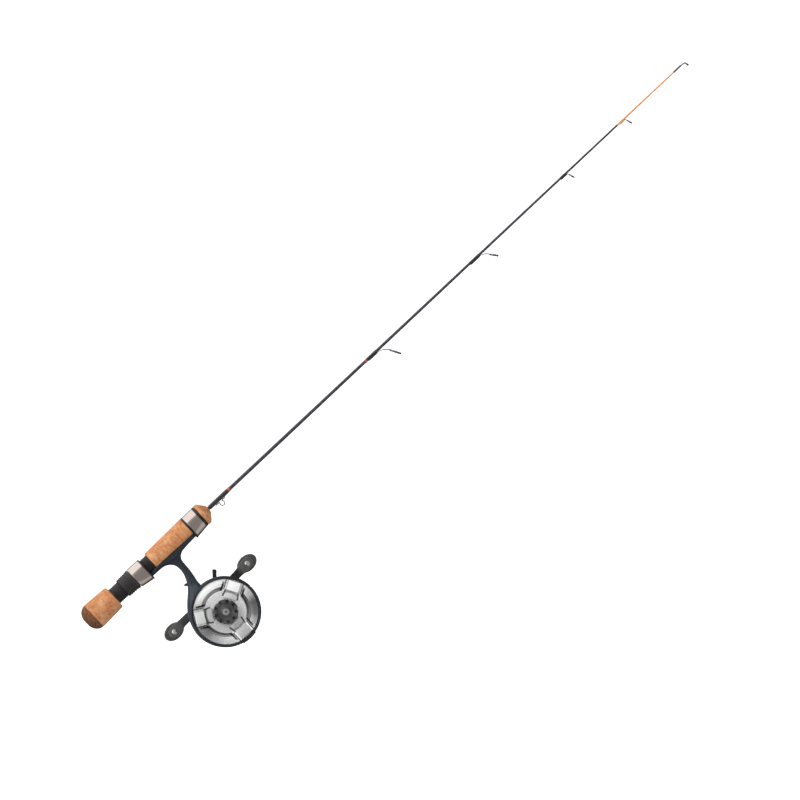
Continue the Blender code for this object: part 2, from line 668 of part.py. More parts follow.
def ring_inserts():
    """The black pieces set into the frame's notches."""
    make("lower_pillar", sector(RING_RI, 31.45, 270 - LOWER_PILLAR_HALF,
                                270 + LOWER_PILLAR_HALF, RING_Y0 - 0.1, PLATE_Y0 + 0.75, 8),
         BLACK)
    make("line_guard", sector(RING_RI, RING_RO + 0.05, GUARD_START, GUARD_END,
                              RING_Y0 - 0.05, RING_Y1, 10), BLACK)


def gearbox_cover():
    plate = [(COVER_Y0, 0), (COVER_Y0, RING_RO - 0.1), (COVER_Y0 + 0.5, RING_RO),
             (COVER_Y1 - 1.0, RING_RO - 0.6), (COVER_Y1, RING_RO - 2.4), (COVER_Y1, 0)]
    outer_boss = [(COVER_Y1 - 0.5, 0), (COVER_Y1 - 0.5, 9.4), (20.3, 8.9), (20.9, 8.3),
                  (20.9, 0)]
    screw_hole = [(17, 0), (17, 1.1), (18.1, 1.1), (18.1, 1.8), (21, 1.8), (21, 0)]
    boss_end = COVER_Y0 + 0.5
    cover = make("gearbox_cover", lathe_y(plate, SPOOL, 44), FRAME)
    add(cover, "cover_boss_in", disc(15.0, boss_end, 7.0, CRANK, 24))
    add(cover, "cover_boss_out", lathe_y(outer_boss, CRANK, 24))
    add(cover, "cover_axle_boss", disc(15.7, boss_end, 3.6, SPOOL, 24))
    add(cover, "cover_trigger_boss", disc(17.2, boss_end, 2.2, TRIGGER, 16))
    cut(cover, "cover_axle_hole", disc(14.57, 20.13, 1.65, SPOOL, 20))
    for i, place in enumerate(SCREWS):
        cut(cover, f"cover_screw_hole_{i}", lathe_y(screw_hole, place, 16))
    cut(cover, "cover_pin_hole", disc(14.0, 18.7, PIN_BORE_R, TRIGGER, 14))
    cut(cover, "cover_clutch_seat", disc(13.9, 22.3, 5.2, CRANK, 30))


def cover_screws():
    profile = [(12.0, 0), (12.0, 0.85), (18.25, 0.85), (18.25, 1.6), (19.3, 1.6),
               (19.6, 1.3), (19.6, 0)]
    for i, place in enumerate(SCREWS):
        make(f"cover_screw_{i + 1}", lathe_y(profile, place, 14), STEEL)


reel_frame()
ring_inserts()
gearbox_cover()
cover_screws()

# ---------------------------------------------------------------- spool and its axle
# (y, radius)
SPOOL_PROFILE = [
    (-9.0, 4.1), (-9.0, 6.4), (-8.6, 6.6), (-8.6, 18.6), (-9.4, 22.8), (-9.4, 23.4),
    (-9.9, 28.0), (-9.4, 28.4), (-8.7, 28.4), (-8.2, 24.6), (6.4, 24.6), (6.6, 28.2),
    (7.7, 28.2), (7.7, 24.4), (6.9, 23.7), (6.9, 7.0), (7.4, 6.4), (7.4, 4.1),
    (3.6, 4.1), (3.6, 2.4), (-6.4, 2.4), (-6.4, 4.1),
]
SPOOL_HOLLOW = [(-7.0, 7.1), (-7.0, 23.3), (5.6, 23.3), (5.6, 6.7)]
# Spoke outlines: (along the spoke from the spool's axis, across it)
SPOKE_BLOCK = ((19.4, -7.0), (27.2, -7.0), (27.2, 7.0), (19.4, 7.0))
SPOKE_ARM = ((6.0, -6.0), (12.0, -8.6), (19.8, -5.8), (19.8, 5.8), (12.0, 8.6), (6.0, 6.0))


def on_spoke(along, across, degrees):
    c, s = math.cos(math.radians(degrees)), math.sin(math.radians(degrees))
    return (SPOOL[0] + along * c - across * s, SPOOL[1] + along * s + across * c)


def window(spoke):
    """The opening from one spoke to the next: an arc with its ends turned outwards."""
    inner_r, outer_r, end_r = 18.6, 23.1, 26.4
    near, far = 8.5, 10.2     # the end slots' sides, out from the spoke's centre line
    following = spoke + SPOKE_PITCH
    inner_turn = math.degrees(math.asin(near / inner_r))
    outer_turn = math.degrees(math.asin(far / outer_r))

    def slot_end(degrees, across):
        return on_spoke(math.sqrt(end_r * end_r - across * across), across, degrees)

    return [
        *arc(SPOOL, inner_r, spoke + inner_turn, following - inner_turn, 10),
        slot_end(following, -near), slot_end(following, -far),
        *arc(SPOOL, outer_r, following - outer_turn, spoke + outer_turn, 10),
        slot_end(spoke, far), slot_end(spoke, near),
    ]


def spool():
    body = make("spool", lathe_y(SPOOL_PROFILE, SPOOL, 48), CHROME, origin=at(SPOOL))
    for i, d in enumerate(SPOKE_DEGREES):
        block = [on_spoke(*p, d) for p in SPOKE_BLOCK]
        add(body, f"spoke_block_{i}", prism(block, -10.3, -8.0))
        arm = [on_spoke(*p, d) for p in SPOKE_ARM]
        add(body, f"spoke_arm_{i}", prism(arm, -9.2, -8.0))
    cut(body, "spool_hollow", lathe_y(SPOOL_HOLLOW, SPOOL, 40))
    for i, d in enumerate(SPOKE_DEGREES):
        cut(body, f"window_{i}", prism(window(d), -12.0, -6.2))


def spool_axle():
    profile = [(-12.6, 0), (-12.6, 1.2), (-12.3, AXLE_R), (19.2, AXLE_R), (19.2, 0)]
    make("spool_axle", lathe_y(profile, SPOOL, 20), STEEL)
    for end, y0, y1 in (("front", -9.0, -6.7), ("rear", 3.9, 6.4)):
        make(f"spool_bearing_{end}", disc(y0, y1, SPOOL_BEARING_R, SPOOL, 22,
                                          SPOOL_BEARING_BORE, BEARING_CHAMFER), STEEL)


def tension_knob():
    """A knob with six scallops round its edge, hollowed on its outer (-Y) face round a hub."""
    outline = []
    for t in turn(72):
        dip = max(0.0, math.cos(6 * (t - math.radians(30)))) ** 4
        outline.append(polar(SPOOL, 10.9 - 0.9 * dip, t))
    knob = make("tension_knob", prism(outline, -13.2, -9.9), BLACK, origin=at(SPOOL))
    cut(knob, "knob_recess", disc(-14.0, -12.5, 7.6, SPOOL, 24))
    add(knob, "knob_hub", disc(-13.4, -12.0, 4.6, SPOOL, 24))
    cut(knob, "knob_bore", disc(-12.9, -9.0, 1.68, SPOOL, 20))


spool()
spool_axle()
tension_knob()


# ---------------------------------------------------------------- gears and drive shaft
def gear_outline(teeth, centre, first_degrees):
    """An involute spur gear; first_degrees is a tooth's centre line."""
    pitch_r = GEAR_MODULE * teeth / 2
    base_r = pitch_r * math.cos(PRESSURE_ANGLE)
    tip_r = pitch_r + 0.92 * GEAR_MODULE
    root_r = pitch_r - 1.22 * GEAR_MODULE

    def involute(angle):
        return math.tan(angle) - angle

    def half_tooth(r):
        return (math.pi / (2 * teeth) - TOOTH_THINNING / (2 * pitch_r)
                + involute(PRESSURE_ANGLE) - involute(math.acos(min(1.0, base_r / r))))

    low = max(base_r, root_r)
    flank = [(r, half_tooth(r)) for r in (low + (tip_r - low) * k / 2 for k in range(3))]
    if root_r < base_r:
        flank.insert(0, (root_r, half_tooth(low) + 0.02))
    points = []
    for k in range(teeth):
        middle = math.radians(first_degrees) + 2 * math.pi * k / teeth
        points += [polar(centre, r, middle - half) for r, half in flank]
        points += [polar(centre, r, middle + half) for r, half in reversed(flank)]
    return points


def gears():
    """The main gear has a tooth straight down, where the pinion has a gap straight up."""
    outline = gear_outline(PINION_TEETH, SPOOL, 90 + 180 / PINION_TEETH)
    pinion = make("pinion_gear", prism(outline, 11.2, 14.9), BRASS, origin=at(SPOOL))
    add(pinion, "pinion_sleeve", disc(7.65, 15.3, 3.1, SPOOL, 24))
    cut(pinion, "pinion_bore", disc(7.0, 16.0, 1.7, SPOOL, 20))

    outline = gear_outline(MAIN_TEETH, CRANK, -90)
    main_gear = make("main_gear", prism(outline, 11.5, 14.4), BRASS, origin=at(CRANK))
    cut(main_gear, "main_bore", disc(10, 16, 2.72, CRANK, 24))


def drive_shaft():
    profile = [(8.8, 0), (8.8, SHAFT_R), (11.3, SHAFT_R), (29.2, SHAFT_R), (29.2, 0)]
    make("drive_shaft", lathe_y(profile, CRANK, 24), STEEL, origin=at(CRANK))
    make("shaft_bush", disc(8.65, 10.9, 3.7, CRANK, 24, bore=2.65), BRASS)
    for name, y0, y1 in (("one_way_clutch", 15.0, 18.0), ("drive_bearing", 18.3, 20.7)):
        make(name, disc(y0, y1, 5.0, CRANK, 22, bore=2.7, chamfer=BEARING_CHAMFER), STEEL)


def drag_wheel():
    """A five-pointed star."""
    outline = [polar(CRANK, 7.6 + 2.3 * max(0.0, math.cos(5 * t)) ** 2, t) for t in turn(50)]
    wheel = make("drag_wheel", prism(outline, 21.5, 23.6), GREY, origin=at(CRANK))
    cut(wheel, "wheel_bore", disc(20, 26, CRANK_HUB_BORE, CRANK, 24))


gears()
drive_shaft()
drag_wheel()

# ---------------------------------------------------------------- crank and its knobs
# Half of the crank arm, end to hub: (distance along X from the hub, half width)
HALF_ARM = (
    (-48.5, 1.5), (-47.7, 3.1), (-46.0, 4.4), (-43.1, 5.0), (-40.2, 4.9), (-36.5, 4.3),
    (-33.0, 3.8), (-29.0, 3.65), (-24.5, 3.6), (-20.0, 3.65), (-14.0, 4.2), (-7.0, 5.2),
    (0.0, 5.6),
)
# Knob sections: (y from the inner end, share of full size)
KNOB_SECTIONS = ((0, 0.74), (0.6, 0.84), (2.0, 0.95), (4.4, 1.0), (6.8, 0.97), (8.4, 0.86),
                 (KNOB_Y1 - KNOB_Y0, 0.74))


def crank_arm():
    """A flat bar with rounded ends, stepped outwards (+Y) from the hub and slightly S-curved."""
    stations = []
    for u, half in HALF_ARM + tuple((-u, half) for u, half in reversed(HALF_ARM[:-1])):
        x = CRANK[0] + u
        y0 = 24.3 + 2.6 * smooth_step((abs(u) - 23.5) / 10.5)
        y1 = y0 + CRANK_THICKNESS
        z = CRANK[1] - 1.2 * math.sin(math.pi * u / CRANK_HALF)
        stations.append([(x, y0, z - half), (x, y0, z + half),
                         (x, y1, z + half), (x, y1, z - half)])
    crank = make("crank_arm", loft(stations), GREY, origin=at(CRANK))
    cut(crank, "crank_bore", disc(23, 28, CRANK_HUB_BORE, CRANK, 24))
    for side in (-1, 1):
        eye = (CRANK[0] + side * CRANK_HALF, CRANK[1])
        cut(crank, f"crank_eye_{side}", disc(25, 30, KNOB_BORE, eye, 16))


def crank_nut():
    """A hexagonal nut, closed at its outer end."""
    profile = [(26.5, 0), (26.5, 4.4), (29.3, 4.4), (30.3, 3.4), (30.6, 0)]
    nut = make("crank_nut", lathe_y(profile, CRANK, 6), STEEL, origin=at(CRANK))
    cut(nut, "nut_bore", disc(25, 29.4, 2.7, CRANK, 20))


def crank_knob(tag, side):
    """An oval knob on a headed axle."""
    place = (CRANK[0] + side * CRANK_HALF, CRANK[1])
    axle = [(26.3, 0), (26.4, 1.7), (26.75, 2.2), (26.75, 1.45), (KNOB_Y1 + 0.2, 1.45),
            (KNOB_Y1 + 0.2, 2.3), (KNOB_Y1 + 0.7, 2.1), (KNOB_Y1 + 0.9, 0)]
    make(f"knob_axle_{tag}", lathe_y(axle, place, 20), STEEL, origin=at(place))
    stations = [[(place[0] + share * KNOB_LENGTH / 2 * math.cos(t), KNOB_Y0 + y,
                  place[1] + share * KNOB_WIDTH / 2 * math.sin(t)) for t in turn(26)]
                for y, share in KNOB_SECTIONS]
    knob = make(f"knob_{tag}", loft(stations), KNOB, origin=at(place))
    cut(knob, f"knob_bore_{tag}", disc(28, 40, KNOB_BORE, place, 20))


crank_arm()
crank_nut()
crank_knob("a", -1)
crank_knob("b", 1)

# ---------------------------------------------------------------- trigger and switch
# Lever outlines (x, z), following on from the round end about the pivot
TRIGGER_LEVER = [
    (108.9, -50.0), (109.5, -48.9), (111.4, -46.7), (113.6, -44.5), (113.8, -43.6),
    (112.4, -41.9), (111.4, -41.4), (110.6, -42.2), (108.6, -44.5), (106.5, -46.9),
    (104.6, -49.4),
]
SWITCH_LEVER = [(86.6, -34.0), (84.4, -33.9), (83.7, -34.7), (84.3, -35.7), (86.4, -37.2)]


def trigger():
    """The free-fall trigger and its pin."""
    outline = arc(TRIGGER, 2.2, 150, 310, 8) + TRIGGER_LEVER
    lever = make("trigger", prism(outline, 14.95, 16.75), BLACK, origin=at(TRIGGER))
    cut(lever, "trigger_bore", disc(14, 18, PIN_BORE_R, TRIGGER, 16))
    make("trigger_pin", disc(14.75, 18.4, 0.85, TRIGGER, 14), STEEL)


def anti_reverse_switch():
    """The switch lever and its screw."""
    outline = arc(SWITCH, 2.3, -150, 90, 8) + SWITCH_LEVER
    lever = make("anti_reverse_switch", prism(outline, 5.35, 7.0), FRAME, origin=at(SWITCH))
    cut(lever, "switch_bore", disc(4, 9, 1.0, SWITCH, 16))
    screw = [(5.7, 0), (5.7, 0.8), (7.2, 0.8), (7.2, 1.7), (7.9, 1.5), (7.9, 0)]
    make("switch_screw", lathe_y(screw, SWITCH, 16), STEEL)


trigger()
anti_reverse_switch()
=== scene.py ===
"""A fishing rod with a ring-framed reel under its handle.

The rod lies along +X, from its butt at x = 0 to its tip top near x = 711. The reel hangs below it,
towards -Z, and turns about Y: the spool's open face looks to -Y and the crank is at +Y.
Sizes are in mm, up to the floor, lights and camera at the end, which are in metres.
"""
import math

import bmesh
import bpy
from mathutils import Matrix, Vector


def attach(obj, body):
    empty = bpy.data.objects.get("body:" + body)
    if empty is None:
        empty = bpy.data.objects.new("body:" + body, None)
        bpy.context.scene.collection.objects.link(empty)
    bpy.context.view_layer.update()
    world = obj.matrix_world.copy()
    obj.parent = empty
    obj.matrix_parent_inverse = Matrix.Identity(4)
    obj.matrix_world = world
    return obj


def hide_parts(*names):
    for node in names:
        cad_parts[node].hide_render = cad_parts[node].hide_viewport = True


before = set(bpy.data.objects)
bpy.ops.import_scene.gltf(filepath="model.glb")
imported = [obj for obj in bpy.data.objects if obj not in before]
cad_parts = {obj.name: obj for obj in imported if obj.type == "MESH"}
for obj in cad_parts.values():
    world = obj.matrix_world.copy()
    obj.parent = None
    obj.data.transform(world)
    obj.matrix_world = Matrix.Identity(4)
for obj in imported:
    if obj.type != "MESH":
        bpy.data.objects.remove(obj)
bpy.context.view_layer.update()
MM = 0.001
TURN = 2 * math.pi

# ================================================================ driving sizes
# places on the reel are (x, z)
SPOOL = (94.3, -75.0)
CRANK = (SPOOL[0], SPOOL[1] + 16.5)
TRIGGER = (SPOOL[0] + 10.9, SPOOL[1] + 23.1)
SWITCH = (89.6, -37.4)
RING_RO, RING_RI = 30.9, 28.9
RING_Y0, RING_Y1 = -10.6, -7.2
PLATE_Y0, PLATE_Y1, CUP_Y1 = 8.4, 10.2, 17.4
COVER_Y0, COVER_Y1 = 17.55, 19.3
SADDLE_R = 8.3  # the seat's bare tube, on which the reel foot sits
TUBE_R = 5.7  # bore of the grips
CRANK_HALF = 43.1  # from the crank's axis to each paddle
THREAD_PITCH = 1.65
# x, radius
BLANK = (
    (10.0, 1.70), (150.0, 1.66), (173.0, 1.58), (259.0, 1.44), (337.0, 1.30),
    (415.0, 1.17), (484.0, 1.06), (554.0, 0.94), (629.6, 0.78))
TIP = ((629.75, 0.76), (664.0, 0.68), (702.0, 0.58))


# ================================================================ node materials
class Nodes:
    """Short ways to add nodes to a tree."""

    def __init__(self, tree):
        self.tree = tree

    def put(self, socket, value):
        if isinstance(value, bpy.types.NodeSocket):
            self.tree.links.new(value, socket)
        elif isinstance(value, (tuple, list)) and len(value) == 3 and socket.type == "RGBA":
            socket.default_value = (*value, 1)
        else:
            socket.default_value = value

    def node(self, kind, inputs=None, **props):
        node = self.tree.nodes.new("ShaderNode" + kind)
        for key, value in props.items():
            setattr(node, key, value)
        for key, value in (inputs or {}).items():
            self.put(node.inputs[key], value)
        return node

    def vector(self, operation, inputs):
        return self.node("VectorMath", inputs, operation=operation).outputs[0]

    def math(self, operation, a, b=0.0, c=0.0):
        return self.node("Math", {0: a, 1: b, 2: c}, operation=operation).outputs[0]

    def add(self, a, b):
        return self.math("ADD", a, b)

    def sub(self, a, b):
        return self.math("SUBTRACT", a, b)

    def mul(self, a, b):
        return self.math("MULTIPLY", a, b)

    def div(self, a, b):
        return self.math("DIVIDE", a, b)

    def ramp(self, fac, *stops):
        """Stops are (position, colour or grey)."""
        node = self.node("ValToRGB", {0: fac})
        node.color_ramp.interpolation = "LINEAR"
        elements = node.color_ramp.elements
        while len(elements) < len(stops):
            elements.new(0.5)
        for element, (position, colour) in zip(elements, stops):
            element.position = position
            grey = not isinstance(colour, (tuple, list))
            element.color = (colour, colour, colour, 1) if grey else (*colour, 1)
        return node.outputs[0]


class Mat(Nodes):
    """A material round one Principled shader. Positions are object coordinates in mm."""

    SOCKETS = {
        "color": "Base Color", "rough": "Roughness", "metal": "Metallic", "normal": "Normal",
        "spec": "Specular IOR Level", "aniso": "Anisotropic", "tangent": "Tangent",
        "coat": "Coat Weight", "coat_rough": "Coat Roughness", "coat_normal": "Coat Normal",
        "emit": "Emission Color", "emit_strength": "Emission Strength"}

    def __init__(self, name):
        self.material = bpy.data.materials.new(name)
        self.material.use_nodes = True
        super().__init__(self.material.node_tree)
        self.shader = self.tree.nodes["Principled BSDF"]
        coords = self.node("TexCoord").outputs["Object"]
        self.place = self.vector("SCALE", {0: coords, "Scale": 1000.0})

    def done(self, **values):
        """Sets the shader's sockets and gives the material."""
        for key, value in values.items():
            self.put(self.shader.inputs[self.SOCKETS[key]], value)
        return self.material

    def scaled(self, x, y, z, at=None):
        return self.vector("MULTIPLY", {0: at or self.place, 1: (x, y, z)})

    def moved(self, x, y, z, at=None):
        return self.vector("ADD", {0: at or self.place, 1: (x, y, z)})

    def from_spool(self):
        return self.moved(-SPOOL[0], 0.0, -SPOOL[1])

    def xyz(self, at=None):
        node = self.node("SeparateXYZ", {0: at or self.place})
        return node.outputs[0], node.outputs[1], node.outputs[2]

    def noise(self, size, detail=3.0, rough=0.55, at=None, distort=0.0):
        """Noise with features about size mm across."""
        return self.node("TexNoise", {
            "Vector": at or self.place, "Scale": 1.0 / size, "Detail": detail,
            "Roughness": rough, "Distortion": distort}).outputs["Fac"]

    def mix(self, fac, a, b, blend="MIX"):
        node = self.node("Mix", {}, data_type="RGBA", blend_type=blend)
        self.put(node.inputs[0], fac)
        self.put(node.inputs[6], a)
        self.put(node.inputs[7], b)
        return node.outputs[2]

    def times(self, colour, other, fac=1.0):
        return self.mix(fac, colour, other, "MULTIPLY")

    def angle(self, a, b):
        """The angle of (b, a) as a part of a turn."""
        return self.div(self.math("ARCTAN2", a, b), TURN)

    def length(self, a, b):
        return self.math("SQRT", self.add(self.mul(a, a), self.mul(b, b)))

    def hollows(self, distance):
        """Openness to the surroundings within the distance in mm, 1 where open."""
        return self.node("AmbientOcclusion", {"Distance": distance * MM}, samples=6).outputs["AO"]

    def clock(self, turn, *tones):
        """Tones round a disc in equal shares from +X, blended into each other."""
        count = len(tones)
        wrap = (tones[0] + tones[-1]) / 2
        inner = (((k + 0.5) / count, tone) for k, tone in enumerate(tones))
        return self.ramp(turn, (0.0, wrap), *inner, (1.0, wrap))

    def bump(self, height, depth, strength):
        """Depth is in mm."""
        return self.node("Bump", {
            "Height": height, "Strength": strength, "Distance": depth * MM}).outputs[0]


def shaded(colour, factor):
    return tuple(c * factor for c in colour)


def cork(name, shade, seed):
    """Natural cork: streaks, fine grain and dark pits; seed picks the patch of it."""
    g = Mat(name)
    patch = g.moved(seed * 37.0, seed * 11.0, seed * 5.0)
    broad = g.noise(9.0, detail=3, rough=0.6, at=g.scaled(1.0, 1.0, 1.0, patch))
    streaks = g.noise(2.9, detail=4, rough=0.62, at=g.scaled(1.5, 0.85, 0.85, patch))
    base = g.ramp(
        broad, (0.25, shaded((0.60, 0.235, 0.100), shade)),
        (0.5, shaded((0.72, 0.33, 0.150), shade)), (0.78, shaded((0.86, 0.48, 0.255), shade)))
    base = g.times(base, g.ramp(
        streaks, (0.32, (0.80, 0.60, 0.50)), (0.46, (0.98, 0.91, 0.88)),
        (0.56, (1.04, 1.07, 1.08)), (0.70, (1.16, 1.28, 1.34))))
    grain = g.noise(0.42, detail=2, rough=0.6, at=patch)
    base = g.times(base, g.ramp(grain, (0.3, 0.90), (0.7, 1.07)))
    # lens-shaped pits, and smaller spots between them
    lens = g.noise(1.55, detail=1.5, rough=0.5, at=g.scaled(1.9, 0.62, 0.62, patch), distort=0.6)
    pits = g.ramp(lens, (0.665, 0.0), (0.70, 1.0))
    spots = g.noise(0.7, detail=1, rough=0.5, at=g.moved(3, 7, 1, patch))
    spots = g.ramp(spots, (0.70, 0.0), (0.74, 1.0))
    base = g.mix(g.mul(pits, 0.72), base, shaded((0.20, 0.085, 0.034), shade))
    base = g.mix(g.mul(spots, 0.42), base, shaded((0.34, 0.16, 0.07), shade))
    # broad patches darkened by handling
    rub = g.noise(16.0, detail=2, rough=0.5, at=g.moved(20, 3, 9, patch))
    rub = g.ramp(rub, (0.50, 0.0), (0.75, 0.22))
    base = g.mix(rub, base, shaded((0.48, 0.25, 0.11), shade))
    height = g.sub(g.mul(grain, 0.35), g.add(pits, g.mul(spots, 0.5)))
    return g.done(
        color=base, rough=g.ramp(broad, (0.3, 0.82), (0.7, 0.66)), spec=0.28,
        normal=g.bump(height, depth=0.16, strength=0.75))


def cork_composite(name):
    """Dark brown cork, darker than the grips: uneven crumbs with darker seams."""
    g = Mat(name)
    warp = g.node("TexNoise", {"Vector": g.place, "Scale": 0.8, "Detail": 2.0}).outputs["Color"]
    warped = g.scaled(1, 1, 1, g.vector("ADD", {0: g.place, 1: warp}))
    crumbs = g.node("TexVoronoi", {"Vector": warped, "Scale": 0.72}, feature="F1")
    tone = g.node("SeparateColor", {0: crumbs.outputs["Color"]}).outputs[0]
    base = g.ramp(
        tone, (0.0, (0.120, 0.046, 0.020)), (0.35, (0.165, 0.067, 0.029)),
        (0.7, (0.215, 0.093, 0.043)), (1.0, (0.275, 0.127, 0.062)))
    seams = g.node(
        "TexVoronoi", {"Vector": g.place, "Scale": 1.0 / 1.4}, feature="DISTANCE_TO_EDGE")
    seams = g.ramp(seams.outputs["Distance"], (0.0, 0.62), (0.10, 1.0))
    base = g.times(base, seams, fac=0.75)
    fine = g.noise(0.5, detail=3, rough=0.6)
    base = g.times(base, g.ramp(fine, (0.3, 0.86), (0.7, 1.10)))
    return g.done(
        color=base, rough=g.ramp(fine, (0.3, 0.62), (0.7, 0.78)), spec=0.3,
        normal=g.bump(fine, depth=0.10, strength=0.6))


def knob_painted_shade_and_reflections(g, col):
    """Paints shade into the nine dimples in the knob's face, and paints reflections round the clock
    as lighter and darker tone.
    """
    x, y, z = g.xyz(g.from_spool())
    turn = g.math("FRACT", g.angle(z, x))
    radius = g.div(g.length(x, z), 16.0)
    near_face = g.ramp(g.math("MULTIPLY_ADD", y, 0.25, 3.5), (0.24, 0.0), (0.30, 1.0))
    band = g.ramp(radius, (0.459, 0.0), (0.468, 1.0), (0.643, 1.0), (0.65, 0.0))
    # painted shade in the dimples, stronger at some angles round the face
    shade = g.clock(turn, 1.0, 1.0, 0.4, 0.7, 1.0, 0.9, 0.5, 0.4, 0.7, 0.9, 1.0, 1.0)
    dimple_painted_shade = g.mul(g.mul(near_face, band), shade)
    col = g.mix(g.mul(dimple_painted_shade, 0.93), col, (0.008, 0.008, 0.008))
    col = g.times(col, (0.93, 1.0, 0.99))
    # painted reflections: lighter and darker tone round the clock
    return g.times(col, g.clock(
        turn, 0.62, 0.70, 1.10, 1.15, 0.90, 0.72, 0.90, 1.20, 1.0, 0.78, 1.10, 0.58))


def black_plastic(name, lift, rough=0.42, shade=None):
    """Moulded black plastic; shade "ribs" paints shade into the grooves, "knob" into the dimples as
    well, with painted reflections round the knob's face.
    """
    g = Mat(name)
    fine = g.noise(0.35, detail=2, rough=0.6)
    wide = g.noise(14.0, detail=3, rough=0.6)
    scratch = g.noise(1.2, detail=4, rough=0.7, at=g.scaled(0.25, 2.4, 2.4))
    scratch = g.ramp(scratch, (0.62, 0.0), (0.70, 1.0))
    col = g.ramp(
        wide, (0.3, shaded((0.014, 0.013, 0.0135), lift)),
        (0.7, shaded((0.024, 0.022, 0.0225), lift)))
    col = g.mix(g.mul(scratch, 0.30), col, shaded((0.075, 0.072, 0.072), lift))
    if shade:
        # painted shade in grooves and hollows, found by occlusion
        hollow = g.ramp(g.hollows(1.6), (0.35, 1.0), (0.85, 0.0))
        col = g.mix(g.mul(hollow, 0.94), col, (0.008, 0.008, 0.008))
    if shade == "knob":
        col = knob_painted_shade_and_reflections(g, col)
    return g.done(
        color=col, rough=g.add(rough - 0.08, g.mul(wide, 0.16)), spec=0.5,
        normal=g.bump(fine, depth=0.03, strength=0.5))


def carbon(name):
    """Blue-black blank: a spiral of tighter and looser tape under clear lacquer."""
    g = Mat(name)
    x, y, z = g.xyz()
    turn = g.angle(y, z)
    spiral = g.math("FRACT", g.add(g.div(x, 7.2), turn))
    cross = g.math("FRACT", g.sub(g.div(x, 3.1), turn))
    band = g.ramp(spiral, (0.0, 0.0), (0.16, 1.0), (0.42, 0.85), (0.58, 0.0), (1.0, 0.0))
    weave = g.ramp(cross, (0.0, 0.25), (0.3, 1.0), (0.62, 0.2), (1.0, 0.25))
    col = g.mix(band, (0.010, 0.011, 0.017), (0.042, 0.045, 0.066))
    col = g.mix(0.45, col, g.mix(weave, (0.006, 0.006, 0.010), (0.070, 0.072, 0.10)))
    wide = g.noise(40.0, detail=2, rough=0.5)
    return g.done(
        color=col, rough=g.ramp(wide, (0.3, 0.34), (0.7, 0.26)), metal=0.15, coat=1.0,
        coat_rough=0.07, normal=g.bump(band, depth=0.012, strength=0.5))


def lacquer(name, a, b, thread=None):
    """Paint, or thread of the given spacing, under thick clear epoxy."""
    g = Mat(name)
    x, y, z = g.xyz()
    mottle = g.noise(2.4, detail=3, rough=0.55)
    col = g.mix(g.ramp(mottle, (0.3, 0.0), (0.7, 1.0)), a, b)
    if thread:
        ridge = g.math("ABSOLUTE", g.math("SINE", g.mul(x, math.pi / thread)))
        col = g.times(col, g.ramp(ridge, (0.0, 0.42), (0.5, 1.0)))
        under = g.bump(ridge, depth=0.05, strength=0.8)
    else:
        spiral_pitch = 4.4
        spiral = g.math("FRACT", g.add(g.div(x, spiral_pitch), g.angle(y, z)))
        col = g.times(col, g.ramp(spiral, (0.0, 0.84), (0.3, 1.0), (0.6, 1.08), (1.0, 0.84)))
        under = g.bump(mottle, depth=0.02, strength=0.4)
    waves = g.bump(g.noise(5.0, detail=2, rough=0.5), depth=0.06, strength=0.5)
    return g.done(
        color=col, rough=0.42, coat=1.0, coat_rough=0.05, coat_normal=waves, normal=under)


def polished(name, tint, rough, brush=None, mark=0.12):
    """Metal with fine turning lines, faint smears and scratches.

    The lines ring the rod's axis ("axis"), the spool's ("spool"), or run across Z.
    """
    g = Mat(name)
    if brush == "axis":
        lines = g.noise(0.28, detail=3, rough=0.7, at=g.scaled(1.0, 0.05, 0.05))
    elif brush == "spool":
        x, y, z = g.xyz(g.from_spool())
        rings = g.node("CombineXYZ", {0: g.length(x, z), 1: g.mul(y, 1.0), 2: 0.0}).outputs[0]
        lines = g.noise(0.22, detail=3, rough=0.7, at=rings)
    else:
        lines = g.noise(0.5, detail=3, rough=0.7, at=g.scaled(0.3, 0.3, 1.0))
    smear = g.noise(7.0, detail=4, rough=0.62, distort=0.5)
    scratch = g.noise(2.2, detail=5, rough=0.75, at=g.scaled(0.35, 1.0, 1.9))
    scratch = g.ramp(scratch, (0.655, 0.0), (0.69, 1.0))
    col = g.mix(g.ramp(smear, (0.3, 0.0), (0.75, mark * 2.2)), tint, shaded(tint, 0.78))
    uneven = g.add(rough, g.mul(g.sub(smear, 0.5), 0.22))
    uneven = g.add(uneven, g.mul(scratch, 0.10))
    return g.done(
        color=col, metal=1.0, rough=g.math("MAXIMUM", uneven, 0.06),
        normal=g.bump(g.sub(lines, g.mul(scratch, 0.3)), depth=0.012, strength=0.5))


def painted(name, wear):
    """Blue-grey coating with fine orange peel; wear rubs its edges lighter."""
    g = Mat(name)
    peel = g.noise(0.55, detail=2, rough=0.5)
    fleck = g.noise(0.16, detail=1, rough=0.5)
    wide = g.noise(12.0, detail=4, rough=0.6)
    deep, light = (0.015, 0.024, 0.034), (0.024, 0.036, 0.049)
    col = g.mix(g.ramp(wide, (0.3, 0.0), (0.72, 1.0)), deep, light)
    col = g.times(col, g.ramp(fleck, (0.35, 0.88), (0.68, 1.22)))
    if wear:
        edges = g.ramp(g.node("NewGeometry").outputs["Pointiness"], (0.54, 0.0), (0.61, 1.0))
        patches = g.ramp(g.noise(3.2, detail=4, rough=0.7), (0.52, 0.0), (0.66, 1.0))
        col = g.mix(g.mul(g.mul(edges, patches), wear), col, (0.20, 0.22, 0.235))
    return g.done(
        color=col, metal=0.35, rough=g.add(0.30, g.mul(wide, 0.16)), coat=0.35,
        coat_rough=0.22, normal=g.bump(peel, depth=0.03, strength=0.55))


